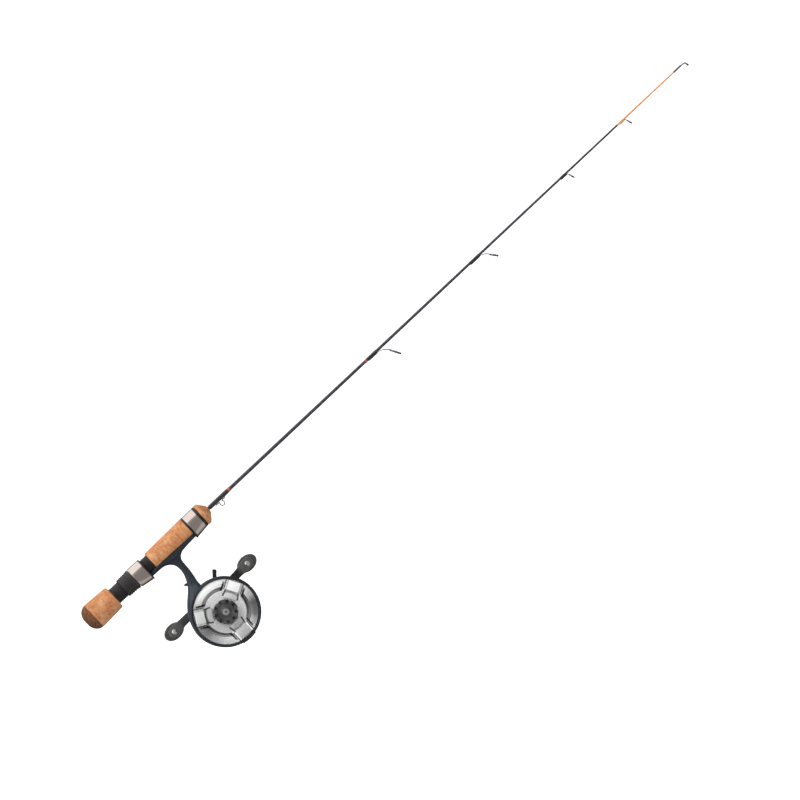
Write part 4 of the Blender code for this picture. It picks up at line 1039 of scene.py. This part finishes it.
keeper = [(151.2, 0, -2.62), (152.8, 0, -2.62), (154.4, 0, -2.66)]
keeper += [(x, 0, z) for x, z in arc((156.6, -4.75), 2.05, 125, 415, 24)]
keeper += [(158.8, 0, -2.66), (160.4, 0, -2.62), (162.0, 0, -2.62)]
piece(sweep(curve(keeper, 3), 0.42, 16), "hook_keeper", KEEPER, smooth=60)

# ================================================================ line guides
# ring centre x and z, outer diameter, lean in degrees, wrap's two ends, foot's start,
# blank radius at the foot
GUIDES = (
    (355.2, -11.7, 10.8, 28.6, 332.4, 343.6, 334.5, 1.30),
    (474.7, -9.1, 7.8, 37.6, 454.0, 465.4, 455.6, 1.08),
    (570.6, -5.3, 5.3, 18.0, 561.6, 568.6, 562.8, 0.92),
    (639.1, -5.2, 5.0, 15.0, 631.0, 637.2, 632.0, 0.72),
)


def guide_foot(top, normal, foot_x, leave_x, foot_z):
    """A wire that lies under the wrap, then curves down to the top of the ring."""
    path = [Vector((foot_x + d, 0, foot_z)) for d in (0, 0.8, 1.6)]
    radii = [0.14, 0.19, 0.20]
    run = top.x - leave_x
    p0 = Vector((leave_x, 0, foot_z))
    p1 = Vector((leave_x + run * 0.55, 0, foot_z))
    p2 = top - normal * (0.06 * run) + Vector((0, 0, 0.28 * (foot_z - top.z)))
    for k in range(21):
        t = k / 20
        s = 1 - t
        path.append(p0 * s ** 3 + p1 * 3 * t * s ** 2 + p2 * 3 * t * t * s + top * t ** 3)
        radii.append(0.20 + 0.23 * step(2.5 * t) + 0.3 * max(0.0, t - 0.8))
    return sweep(path, radii, 16)


def guide_wrap(wrap0, wrap1, foot_x):
    """The wrap round blank and foot, raised underneath where the foot lies."""
    def lump(off):
        return 1 - step((math.degrees(off) - 22) / 45)

    def outer(x, off):
        foot = step((x - foot_x + 2.4) / 2.2)
        taper = 1 - 0.12 * step((x - wrap1 + 1.2) / 1.2)
        lens = 0.13 * swell(x, wrap0 - 0.3, wrap1 + 0.35, 1.2)
        return blank_r(x) + 0.15 + lens + 0.60 * lump(off) * foot * taper

    def inner(x, off):
        foot = step((x - foot_x + 1.4) / 1.6)
        return blank_r(x) + 0.09 + 0.46 * lump(off) * (0.3 + 0.7 * foot) * foot

    return sleeve([wrap0 + (wrap1 - wrap0) * i / 26 for i in range(27)], outer, inner, 48)


def guide(name, x, z, diameter, lean, wrap0, wrap1, foot_x, blank_radius, wrap_mat):
    ro = diameter / 2
    wall, half, insert = (0.62, 0.85, 0.85) if diameter > 7 else (0.42, 0.68, 0.55)
    ri = ro - wall
    down, normal = leaning(lean)
    centre = Vector((x, 0, z))
    ring = obj_from(hoop(half, ro, ri, centre, down, normal, 64), name + "_frame_v")
    top = centre - down * (ro - wall * 0.45)
    foot = guide_foot(top, normal, foot_x, wrap1 - 0.2, -(blank_radius + 0.32))
    finish(carve(ring, joins(foot), 50), GUIDE)
    piece(hoop(half * 0.95, ri - 0.06, ri - insert, centre, down, normal, 64),
          name + "_ring", CERAMIC, smooth=60)
    piece(guide_wrap(wrap0, wrap1, foot_x), name + "_wrap", wrap_mat, smooth=60)


for i, row in enumerate(GUIDES, 1):
    guide(f"guide_{i}", *row, wrap_mat=ORANGE_WRAP if i == 4 else WRAP)


def tip_top():
    """A tube over the tip with a small ring held by two arms."""
    centre = Vector((709.4, 0, -2.3))
    down, normal = leaning(15)
    tube = rounded([
        (696.2, 0.92, 0.12), (704.6, 0.92, 0.3), (705.4, 0.75, 0.2), (705.4, 0.0),
        (702.4, 0.0), (702.4, 0.70, 0), (696.2, 0.70, 0.05)], 0.1)
    tube = obj_from(lathe(tube, n=40), "tip_top_frame_v")
    parts = [hoop(0.72, 2.35, 1.80, centre, down, normal, 56)]
    reach, spread = 2.05, math.radians(38)
    for side in (-1, 1):
        end = centre - down * reach * math.cos(spread)
        end += Vector((0, side * reach * math.sin(spread), 0))
        line = [(703.2, side * 0.35, 0.0), (704.6, side * 0.5, -0.02),
                (705.8, side * 0.62, -0.06), (707.6, side * 0.95, -0.45), tuple(end)]
        parts.append(sweep(curve(line, 4), 0.55, 14))
    finish(carve(tube, joins(*parts), 50), GUIDE)
    piece(hoop(0.5, 1.76, 1.22, centre, down, normal, 56), "tip_top_ring", CERAMIC, smooth=60)


tip_top()

# ================================================================ reel frame
FOOT_X0, FOOT_X1 = 60.0, 129.3
# x, radius of the foot's underside
FOOT = (
    (60.0, 9.35), (64, 9.7), (72, 9.85), (80, 10.1), (85, 10.9), (89, 12.3), (94, 13.4),
    (99, 12.3), (104, 11.2), (112, 10.5), (122, 10.0), (127, 9.75), (129.3, 9.4))
# z, x from and to, y from and to
STEM = [
    (-9.4, 80.5, 107.6, -4.8, 4.8), (-10.4, 82.6, 104.9, -4.5, 4.5),
    (-12.0, 85.7, 101.6, -4.1, 4.1), (-13.8, 87.9, 99.1, -3.9, 3.9),
    (-16.6, 89.9, 97.4, -3.8, 3.8), (-21.6, 90.7, 97.0, -3.8, 3.8),
    (-26.0, 90.3, 96.8, -3.9, 4.0), (-30.3, 88.9, 96.4, -4.1, 4.4),
    (-34.6, 86.8, 95.7, -4.6, 5.2), (-38.9, 83.8, 94.9, -5.6, 6.4),
    (-43.0, 79.6, 94.7, -7.6, 8.2), (-47.0, 75.4, 93.8, -9.2, 9.6),
    (-51.5, 71.4, 91.0, -9.4, 10.0), (-56.5, 67.9, 86.0, -9.4, 10.0),
    (-61.5, 65.6, 82.0, -9.4, 10.0), (-66.5, 64.3, 79.0, -9.3, 10.0),
    (-71.5, 63.6, 76.0, -8.6, 10.0)]
SCREWS = [at(SPOOL, 26.9, deg) for deg in (-20, 130, 232)]
PILLAR_DEG = 13.6  # half the lower pillar's arc


def foot():
    """The curved foot, narrower at its ends and thinner at its sides."""
    rows = []
    k = 14
    for j in range(91):
        x = FOOT_X0 + (FOOT_X1 - FOOT_X0) * j / 90
        d = min(x - FOOT_X0, FOOT_X1 - x)
        a = math.radians(20 + 17 * step(d / 4.0) + 9 * step((d - 8) / 8.0))
        angles = [-a + 2 * a * i / k for i in range(k + 1)]
        arcs = [(SADDLE_R, t) for t in angles]
        low = along(FOOT, x)
        arcs += [(low + (SADDLE_R + 0.9 - low) * (abs(t) / a) ** 3, t) for t in angles[::-1]]
        rows.append([(x, r * math.sin(t), -r * math.cos(t)) for r, t in arcs])
    return skin(rows)


def stem_section(z, x0, x1, y0, y1):
    """A rounded rectangle of 56 points."""
    power = 0.55
    cx, cy, ax, ay = (x0 + x1) / 2, (y0 + y1) / 2, (x1 - x0) / 2, (y1 - y0) / 2
    ring = []
    for i in range(56):
        c, s = math.cos(TURN * i / 56), math.sin(TURN * i / 56)
        ring.append((cx + ax * math.copysign(abs(c) ** power, c),
                     cy + ay * math.copysign(abs(s) ** power, s), z))
    return ring


def stem():
    """The arm from foot to ring, cleared for the seat above and the spool below."""
    ob = obj_from(skin([stem_section(*row) for row in curve(STEM, 5)]), "stem")
    clear_r, clear_y1 = RING_RI + 0.33, PLATE_Y0 + 0.4
    return whole(carve(ob, cuts(
        lathe([(50, 0), (50, SADDLE_R), (140, SADDLE_R), (140, 0)], n=144),
        lathe_y([(-12.0, 0), (-12.0, clear_r), (clear_y1, clear_r), (clear_y1, 0)], SPOOL, 150))))


def reel_frame():
    """Foot, stem, open ring at -Y and gear cup at +Y, as one casting with soft edges."""
    casting = obj_from(foot(), "reel_frame_v")
    ring = [
        (RING_Y0, RING_RI), (RING_Y0, RING_RO - 0.5), (RING_Y0 + 0.5, RING_RO),
        (RING_Y1 - 0.3, RING_RO), (RING_Y1, RING_RO - 0.3), (RING_Y1, RING_RI)]
    cup = [
        (PLATE_Y0, 0), (PLATE_Y0, RING_RO - 0.4), (PLATE_Y0 + 0.4, RING_RO), (CUP_Y1, RING_RO),
        (CUP_Y1, 29.4), (PLATE_Y1, 29.4), (PLATE_Y1, 0)]
    switch_recess = [(80.5, -32.6), (93.4, -32.6), (93.4, -41.8), (80.5, -41.8)]
    side_pillar = sector(
        RING_RI + 0.15, RING_RO - 0.15, -12, 1.5, RING_Y0 + 1.0, PLATE_Y0 + 0.8, 12)
    pillar_deg = PILLAR_DEG + 0.3
    steps = joins(
        stem(), lathe_y(ring, SPOOL, 180), lathe_y(cup, SPOOL, 180), side_pillar,
        *(drum(PLATE_Y1 - 0.5, CUP_Y1, 2.6, p, 36) for p in SCREWS))
    steps += cuts(
        drum(PLATE_Y0 - 1, PLATE_Y1 + 1, 4.4), drum(PLATE_Y0 - 1, PLATE_Y1 + 1, 3.9, CRANK),
        *(drum(11.4, CUP_Y1 + 1, 1.05, p, 24) for p in SCREWS),
        sector(27.0, 33.0, 270 - pillar_deg, 270 + pillar_deg, RING_Y0 - 1, PLATE_Y0 + 0.9, 16),
        sector(27.0, 33.0, 2.7, 39.3, RING_Y0 - 1, RING_Y1 + 1, 20),
        sector(28.0, 32.0, 54.5, 78.5, 14.4, CUP_Y1 + 1, 14),
        drum(5.55, 12.0, 1.02, SWITCH, 24), prism(switch_recess, 5.0, 12.0))
    carve(casting, steps)
    remesh = casting.modifiers.new("r", "REMESH")
    remesh.mode, remesh.adaptivity = "VOXEL", 0.0
    remesh.voxel_size = 0.42 * MM
    smoothing = casting.modifiers.new("s", "SMOOTH")
    smoothing.factor, smoothing.iterations = 0.5, 4
    bake_mods(casting, 0)
    finish(casting, FRAME)


reel_frame()
pillar = sector(
    RING_RI, 31.45, 270 - PILLAR_DEG, 270 + PILLAR_DEG, RING_Y0 - 0.1, PLATE_Y0 + 0.75, 28)
finish(soften(obj_from(pillar, "lower_pillar_v"), 0.35), BLACK)
guard = sector(RING_RI, RING_RO + 0.05, 3.0, 39.0, RING_Y0 - 0.05, RING_Y1, 36)
finish(soften(obj_from(guard, "line_guard_v"), 0.3), BLACK_GLOSS)


# ================================================================ gear cover
def gear_cover():
    """A turned cover with bosses for the shafts and five relief pockets."""
    face, groove = COVER_Y1, COVER_Y1 - 0.25
    profile = [
        (COVER_Y0, 0), (COVER_Y0, RING_RO - 0.15), (COVER_Y0 + 0.35, RING_RO),
        (face - 1.0, RING_RO - 0.35), (face - 0.45, RING_RO - 1.0), (face - 0.1, RING_RO - 2.0),
        (face, RING_RO - 2.9), (face, 22.6), (groove, 22.4), (groove, 21.8), (face, 21.6),
        (face, 0)]
    cover = obj_from(lathe_y(profile, SPOOL, 160), "gearbox_cover_v")
    boss = [(face - 0.5, 0), (face - 0.5, 9.4), (20.3, 8.9), (20.7, 8.6), (20.9, 8.1), (20.9, 0)]
    screw_hole = [(17, 0), (17, 1.1), (18.1, 1.1), (18.1, 1.8), (21, 1.8), (21, 0)]
    pockets = (190 + k * 32 for k in range(5))
    carve(cover, joins(
        drum(15.0, COVER_Y0 + 0.5, 7.0, CRANK, 72), lathe_y(boss, CRANK, 96),
        drum(15.7, COVER_Y0 + 0.5, 3.6, SPOOL, 48), drum(17.2, COVER_Y0 + 0.5, 2.2, TRIGGER, 36),
    ) + cuts(
        drum(14.57, 20.13, 1.65, SPOOL, 36), *(lathe_y(screw_hole, p, 36) for p in SCREWS),
        drum(14.0, 18.7, 1.02, TRIGGER, 24), drum(13.9, 22.3, 5.2, CRANK, 64),
        *(sector(9.0, 19.6, deg + 4, deg + 28, face - 0.5, face + 1, 14) for deg in pockets)))
    finish(soften(cover, 0.18, segments=2), COVER)


gear_cover()
COVER_SCREW = rounded([
    (12.0, 0), (12.0, 0.85, 0), (18.25, 0.85, 0), (18.25, 1.6, 0.1), (19.3, 1.6, 0.1),
    (19.6, 1.3, 0.15), (19.6, 0)], 0.1)
for i, p in enumerate(SCREWS, 1):
    screw = obj_from(lathe_y(COVER_SCREW, p, 40), f"cover_screw_{i}_v")
    finish(carve(screw, cuts(prism(hexagon(p, 0.75), 18.8, 21.0))), STEEL)

# ================================================================ spool
SPOKES = (30, 150, 270)
# y, radius, and the corner's own rounding
SPOOL_SECTION = [
    (-9.0, 4.1, 0), (-9.0, 6.4, 0.2), (-8.5, 6.9, 0.3), (-8.5, 18.0, 0.3), (-8.7, 19.0, 0.3),
    (-9.4, 21.8, 0.4), (-9.75, 24.35, 0.4), (-9.3, 28.1, 0.2), (-9.0, 28.4, 0.2),
    (-8.7, 28.4, 0.2), (-8.2, 24.6, 0.3), (6.4, 24.6, 0.3), (6.6, 28.2, 0.2), (7.7, 28.2, 0.2),
    (7.7, 24.4, 0), (6.9, 23.7, 0), (6.9, 7.0, 0), (7.4, 6.4, 0), (7.4, 4.1, 0), (3.6, 4.1, 0),
    (3.6, 2.4, 0), (-6.4, 2.4, 0), (-6.4, 4.1, 0)]
HOLLOW = [(-7.0, 7.1), (-7.0, 23.3), (-4.9, 23.3), (-4.9, 17.2), (5.6, 16.8), (5.6, 6.7)]
# outlines along a spoke: distance from the axis, half width
PAD = ((18.75, 7.2), (27.1, 7.2))
SPOKE = ((11.6, 5.9), (14.0, 5.8), (16.6, 5.3), (19.2, 5.2))
SPOKE_BED = ((12.2, 7.3), (14.0, 7.2), (16.6, 6.7), (18.3, 6.4))
PAD_BED = ((18.7, 8.1), (27.75, 8.1))


def spoke_point(deg, out, across):
    c, s = math.cos(math.radians(deg)), math.sin(math.radians(deg))
    return (SPOOL[0] + out * c - across * s, SPOOL[1] + out * s + across * c)


def on_spoke(deg, halves, y0, y1):
    outline = [(a, -b) for a, b in halves] + list(halves[::-1])
    return prism([spoke_point(deg, a, b) for a, b in outline], y0, y1)


def window(deg):
    """The opening between the spoke at deg and the next, with notches towards the rim."""
    r0, r1, r2, near, far = 18.6, 21.9, 26.2, 8.5, 10.2
    inner = math.degrees(math.asin(near / r0))
    outer = math.degrees(math.asin(far / r1))

    def notch(spoke, side, across):
        return spoke_point(spoke, math.sqrt(r2 * r2 - across * across), side * across)

    return (arc(SPOOL, r0, deg + inner, deg + 120 - inner, 28)
            + [notch(deg + 120, -1, near), notch(deg + 120, -1, far)]
            + arc(SPOOL, r1, deg + 120 - outer, deg + outer, 28)
            + [notch(deg, 1, far), notch(deg, 1, near)])


def spool():
    ob = obj_from(lathe_y(rounded(SPOOL_SECTION, 0.2), SPOOL, 168), "spool_v")
    steps = []
    for d in SPOKES:
        steps += cuts(on_spoke(d, SPOKE_BED, -9.9, -8.22), on_spoke(d, PAD_BED, -10.9, -8.93))
    for d in SPOKES:
        steps += joins(on_spoke(d, PAD, -10.3, -8.0), on_spoke(d, SPOKE, -9.1, -8.0))
        steps += cuts(sector(17.15, 18.45, d - 22, d + 22, -11.0, -8.62, 24))
    steps += cuts(lathe_y(HOLLOW, SPOOL, 120), *(prism(window(d), -12.0, -6.2) for d in SPOKES))
    carve(ob, steps)
    finish(soften(ob, 0.14, segments=2, angle=38, smooth=36), ALLOY, "spool")


spool()


# ================================================================ tension knob
def tension_knob():
    """Six notches and fine knurling on the rim; nine dimples and five holes in a dished face."""
    rim = []
    for i in range(288):
        t = TURN * i / 288
        dip = max(0.0, math.cos(6 * (t - math.radians(30)))) ** 6
        fine = 0.10 * (0.5 + 0.5 * math.cos(72 * t)) * (1 - dip)
        r = 10.9 - 0.95 * dip - fine
        rim.append((SPOOL[0] + r * math.cos(t), SPOOL[1] + r * math.sin(t)))
    knob = obj_from(prism(rim, -13.2, -9.9), "tension_knob_v")
    dish = [(-14.0, 0), (-14.0, 8.3), (-12.5, 7.3), (-12.5, 0)]
    hub = [(-13.3, 0), (-13.3, 3.9), (-12.9, 4.5), (-12.0, 4.6), (-12.0, 0)]
    bore = [(-12.9, 0), (-12.9, 1.68), (-9.0, 1.68), (-9.0, 0)]
    dimple = [(-13.6, 0), (-13.6, 1.55), (-12.0, 1.25), (-11.6, 0)]
    holes = (54, 126, 198, 270, 342)
    carve(knob, cuts(lathe_y(dish, SPOOL, 96)) + joins(lathe_y(hub, SPOOL, 72)) + cuts(
        lathe_y(bore, SPOOL, 36),
        *(drum(-12.9, -12.25, 0.55, at(SPOOL, 6.1, deg), 24) for deg in holes),
        *(lathe_y(dimple, at(SPOOL, 8.85, 40 * k), 28) for k in range(9))))
    finish(soften(knob, 0.16, segments=2), KNOB, "tension")


tension_knob()
cap = rounded([
    (-13.38, 0), (-13.38, 2.7, 0.1), (-13.2, 3.0, 0.1), (-13.2, 3.3, 0.1), (-12.95, 3.45, 0.1),
    (-12.95, 0)], 0.1)
cap = obj_from(lathe_y(cap, SPOOL, 64), "tension_cap")
finish(carve(cap, cuts(drum(-14.0, -13.15, 0.9, SPOOL, 32))), KNOB_CAP, "tension")

# ================================================================ crank, nut, star wheel
# distance from the crank's axis, half width
HALF_ARM = (
    (-48.5, 1.5), (-47.7, 3.1), (-46.0, 4.4), (-43.1, 5.0), (-40.2, 4.9), (-36.5, 4.3),
    (-33.0, 3.8), (-29.0, 3.65), (-24.5, 3.6), (-20.0, 3.65), (-14.0, 4.2), (-7.0, 5.2),
    (0.0, 5.6))
ARM = HALF_ARM + tuple((-u, w) for u, w in HALF_ARM[-2::-1])
DRIVE_R = 2.75  # hole for the drive shaft


def crank_arm():
    """A flat arm whose two ends step out to +Y."""
    thick = 1.9
    rings = []
    for u, w in [(-48.75, 0.35)] + curve(ARM, 5) + [(48.75, 0.35)]:
        y0 = 24.3 + 2.6 * step((abs(u) - 23.5) / 10.5)
        z0 = CRANK[1] - 1.2 * math.sin(math.pi * u / CRANK_HALF)
        b = min(0.4, w * 0.5)
        # each rounded corner: its centre across and in depth, and its first angle
        corners = (
            (b - w, b, 180), (w - b, b, 270), (w - b, thick - b, 0), (b - w, thick - b, 90))
        points = [p for a, d, deg in corners for p in arc((a, d), b, deg, deg + 90, 4)]
        rings.append([(CRANK[0] + u, y0 + d, z0 + a) for a, d in points])
    arm = obj_from(skin(rings), "crank_arm_v", 45)
    ends = ((CRANK[0] + side * CRANK_HALF, CRANK[1]) for side in (-1, 1))
    steps = cuts(drum(23, 28, DRIVE_R, CRANK, 48), *(drum(25, 30, 1.65, p, 36) for p in ends))
    finish(carve(arm, steps, 45), GUNMETAL, "drive")


def crank_nut():
    nut = obj_from(prism(hexagon(CRANK, 4.4), 26.5, 30.6), "crank_nut_v")
    chamfer = [(26.0, 0), (26.0, 4.2), (26.6, 4.5), (28.6, 4.5), (29.5, 4.0), (30.3, 3.1),
               (30.6, 1.8), (30.6, 0)]
    steps = [("INTERSECT", lathe_y(chamfer, CRANK, 72))] + cuts(drum(25, 29.4, 2.7, CRANK, 40))
    finish(carve(nut, steps, 30), STEEL, "drive")


def star_wheel():
    star = []
    for i in range(240):
        t = TURN * i / 240
        r = 7.6 + 2.3 * max(0.0, math.cos(5 * t)) ** 2
        star.append((CRANK[0] + r * math.cos(t), CRANK[1] + r * math.sin(t)))
    wheel = obj_from(prism(star, 21.5, 23.6), "drag_wheel_v")
    carve(wheel, cuts(drum(20, 26, DRIVE_R, CRANK, 48)))
    finish(soften(wheel, 0.3, angle=50, smooth=45), GUNMETAL, "drive")


crank_arm()
crank_nut()
star_wheel()

# ================================================================ paddles
PADDLE_Y0, PADDLE_Y1 = 29.3, 38.6
AXLE = [
    (26.24, 0), (26.26, 0.6), (26.34, 1.2), (26.46, 1.7), (26.6, 2.05), (26.72, 2.2),
    (26.75, 2.2), (26.75, 1.45), (PADDLE_Y1 + 0.2, 1.45), (PADDLE_Y1 + 0.2, 2.3),
    (PADDLE_Y1 + 0.45, 2.3), (PADDLE_Y1 + 0.7, 2.05), (PADDLE_Y1 + 0.85, 1.4),
    (PADDLE_Y1 + 0.9, 0)]


def paddle(tag, side):
    """An oval paddle with rolled edges and a recess in its +Y face, on its axle."""
    centre = (CRANK[0] + side * CRANK_HALF, CRANK[1])
    piece(lathe_y(AXLE, centre, 48), f"knob_axle_{tag}", RIVET, "drive")
    rows = []
    for j in range(31):
        t = j / 30
        f = 0.70 + 0.30 * (1 - abs(2 * t - 1) ** 3.2) ** 0.42
        y = PADDLE_Y0 + (PADDLE_Y1 - PADDLE_Y0) * t
        rows.append(ellipse(centre, y, f * 9.7, f * 6.9, 96))
    ob = obj_from(skin(rows), f"knob_{tag}_v", 50)
    recess = [ellipse(centre, y, f * 6.3, f * 4.2, 72)
              for y, f in ((PADDLE_Y1 - 0.5, 0.86), (PADDLE_Y1 + 1.0, 1.2))]
    carve(ob, cuts(drum(28, 40, 1.65, centre, 36), skin(recess)), 45)
    finish(ob, PADDLE, f"paddle_{tag}")


paddle("a", -1)
paddle("b", 1)

# ================================================================ trigger and switch
trigger = arc(TRIGGER, 2.2, 150, 310, 24)
trigger += curve([(107.6, -51.9), (108.9, -50.0), (109.5, -48.9), (111.4, -46.7), (113.5, -44.6)], 5)
trigger += curve([(113.8, -43.8), (113.4, -42.9), (112.4, -41.8), (111.5, -41.35)], 4)
trigger += curve([(110.8, -41.9), (108.6, -44.5), (106.5, -46.9), (104.6, -49.4), (103.5, -50.6)], 5)
lever = obj_from(prism(trigger, 14.95, 16.75), "trigger_v")
carve(lever, cuts(drum(14, 18, 1.02, TRIGGER, 36)))
finish(soften(lever, 0.3, angle=35), BLACK_GLOSS, "release")

switch = arc(SWITCH, 2.3, -150, 90, 24)
switch += curve([
    (87.6, -34.6), (86.6, -34.1), (85.2, -33.75), (84.2, -33.95), (83.75, -34.7),
    (84.2, -35.6), (85.4, -36.4), (86.6, -37.3)], 4)
lever = obj_from(prism(switch, 5.35, 7.0), "anti_reverse_switch_v")
carve(lever, cuts(drum(4, 9, 1.0, SWITCH, 36)))
finish(soften(lever, 0.25, angle=35), COVER, "switch")

screw = rounded([
    (5.7, 0), (5.7, 0.8, 0), (7.2, 0.8, 0), (7.2, 1.7, 0.08), (7.6, 1.7, 0.15),
    (7.9, 1.4, 0.1), (7.9, 0)], 0.1)
screw = obj_from(lathe_y(screw, SWITCH, 36), "switch_screw_v")
slot = [(SWITCH[0] + 2 * a, SWITCH[1] + 0.2 * b) for a, b in ((-1, -1), (1, -1), (1, 1), (-1, 1))]
finish(carve(screw, cuts(prism(slot, 7.5, 9.0))), STEEL)

# the axle, shafts, bearings and gears stay as built, with their own metals
KEPT = {
    STEEL: ("spool_axle", "drive_shaft", "spool_bearing_front", "spool_bearing_rear",
            "one_way_clutch", "drive_bearing", "trigger_pin"),
    BRASS: ("shaft_bush", "pinion_gear", "main_gear")}
for mat, names in KEPT.items():
    for name in names:
        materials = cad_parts[name].data.materials
        materials.clear()
        materials.append(mat)


# ================================================================ floor (metres from here on)
def floor_grid(z, size, x_middle, n=8):
    bm = bmesh.new()
    ticks = [((i / n) - 0.5) * size for i in range(n + 1)]
    grid = [[bm.verts.new((x + x_middle, y, z)) for x in ticks] for y in ticks]
    for j in range(n):
        for i in range(n):
            bm.faces.new((grid[j][i], grid[j][i + 1], grid[j + 1][i + 1], grid[j + 1][i]))
    mesh = bpy.data.meshes.new("floor")
    bm.to_mesh(mesh)
    bm.free()
    ob = bpy.data.objects.new("floor", mesh)
    bpy.context.scene.collection.objects.link(ob)
    return ob


def floor_white(name):
    """White to the camera, pale grey to the light, and clear from below."""
    g = Mat(name)
    seen = g.node("LightPath").outputs["Is Camera Ray"]
    col = g.ramp(g.noise(400.0, detail=2), (0.3, (0.52, 0.52, 0.52)), (0.7, (0.55, 0.55, 0.54)))
    g.done(color=col, rough=0.6, spec=0.1, emit=(1, 1, 1),
           emit_strength=g.math("MULTIPLY_ADD", seen, 1.1, 0.0))
    both = g.node("MixShader", {
        0: g.node("NewGeometry").outputs["Backfacing"], 1: g.shader.outputs[0],
        2: g.node("BsdfTransparent").outputs[0]})
    g.put(g.tree.nodes["Material Output"].inputs[0], both.outputs[0])
    return g.material


floor = floor_grid(z=-0.150, size=60.0, x_middle=0.33)
floor.data.materials.append(floor_white("floor_white"))
floor.visible_glossy = False


# ================================================================ world
def studio():
    """White to the camera, a soft sky for diffuse light, and a room for metal to mirror."""
    world = bpy.data.worlds.new("studio")
    world.use_nodes = True
    world.node_tree.nodes.clear()
    g = Nodes(world.node_tree)

    def direction():
        return g.node("TexCoord").outputs["Generated"]

    def spread(value, start, end, low, high):
        return g.node("MapRange", {0: value, 1: start, 2: end, 3: low, 4: high}).outputs[0]

    def background(colour, strength):
        return g.node("Background", {0: colour, 1: strength}).outputs[0]

    ray = g.node("LightPath")
    axes = g.node("SeparateXYZ", {0: direction()})
    # the room from straight down to straight up: pale floor, grey walls, white overhead
    levels = ((0.0, 0.44), (0.10, 0.42), (0.16, 0.235), (0.80, 0.225), (0.875, 1.0), (1.0, 1.0))
    room = g.ramp(
        g.math("MULTIPLY_ADD", axes.outputs[2], 0.5, 0.5),
        *((place, (tone, tone * 0.99, tone * 0.97)) for place, tone in levels))
    # a glowing panel up at -X and -Y
    panel = g.node(
        "VectorMath", {0: direction(), 1: (-0.62, -0.66, 0.42)}, operation="DOT_PRODUCT")
    glow = g.ramp(panel.outputs["Value"], (0.74, 0.0), (0.95, 0.55))
    total = g.vector("ADD", {0: room, 1: glow})
    # dimmer low down towards +Y
    low = spread(axes.outputs[2], start=-0.15, end=-0.40, low=0.0, high=1.0)
    behind = spread(axes.outputs[1], start=0.10, end=0.55, low=0.0, high=1.0)
    both = g.node("Math", {0: low, 1: behind}, operation="MULTIPLY").outputs[0]
    dim = g.math("MULTIPLY_ADD", both, -0.72, 1.0)
    mirror = background(g.vector("SCALE", {0: total, "Scale": dim}), strength=1.35)
    sky = spread(axes.outputs[2], start=-0.6, end=0.7, low=0.10, high=0.46)
    soft = background((1, 1, 1), strength=sky)
    white = background((1, 1, 1), strength=1.05)
    lit = g.node("MixShader", {0: ray.outputs["Is Glossy Ray"], 1: soft, 2: mirror}).outputs[0]
    seen = g.node("MixShader", {0: ray.outputs["Is Camera Ray"], 1: lit, 2: white}).outputs[0]
    g.node("OutputWorld", {0: seen})
    bpy.context.scene.world = world


studio()


# ================================================================ lights
def area(name, place, target, size, power):
    light = bpy.data.lights.new(name, "AREA")
    light.shape, light.size, light.energy = "SQUARE", size, power
    ob = bpy.data.objects.new(name, light)
    ob.location = Vector(place)
    ob.rotation_euler = (Vector(target) - Vector(place)).to_track_quat("-Z", "Y").to_euler()
    ob.visible_glossy = False
    bpy.context.scene.collection.objects.link(ob)


area("key", place=(-0.4, -1.1, 1.7), target=(0.25, 0, -0.02), size=1.2, power=33)
area("fill", place=(0.9, -2.0, 0.5), target=(0.3, 0, -0.03), size=1.4, power=10.5)
area("back", place=(0.3, 1.6, 0.9), target=(0.3, 0, -0.03), size=1.2, power=12)


# ================================================================ camera
def camera(target, distance, yaw, lift, roll):
    """Looks towards +Y from far off, rolled so that the rod rises to the right."""
    lens = bpy.data.cameras.new("camera")
    lens.sensor_width, lens.lens = 36.0, 1040.0
    lens.clip_start, lens.clip_end = 0.1, 200.0
    ob = bpy.data.objects.new("camera", lens)
    bpy.context.scene.collection.objects.link(ob)
    yaw, lift, roll = math.radians(yaw), math.radians(lift), math.radians(roll)
    look = Vector((
        math.sin(yaw) * math.cos(lift), math.cos(yaw) * math.cos(lift), -math.sin(lift)))
    level = Vector((math.cos(yaw), -math.sin(yaw), 0.0))
    upright = level.cross(look)
    right = level * math.cos(roll) - upright * math.sin(roll)
    up = level * math.sin(roll) + upright * math.cos(roll)
    rows = [(right[i], up[i], -look[i], 0) for i in range(3)]
    ob.matrix_world = Matrix((*rows, (0, 0, 0, 1)))
    ob.location = Vector(target) - look * distance
    bpy.context.scene.camera = ob


camera(target=(0.32961, 0.0, -0.04486), distance=19.972, yaw=2.3, lift=2.0, roll=43.089)
bpy.context.scene.view_settings.view_transform = "Standard"
bpy.context.scene.view_settings.look = "None"
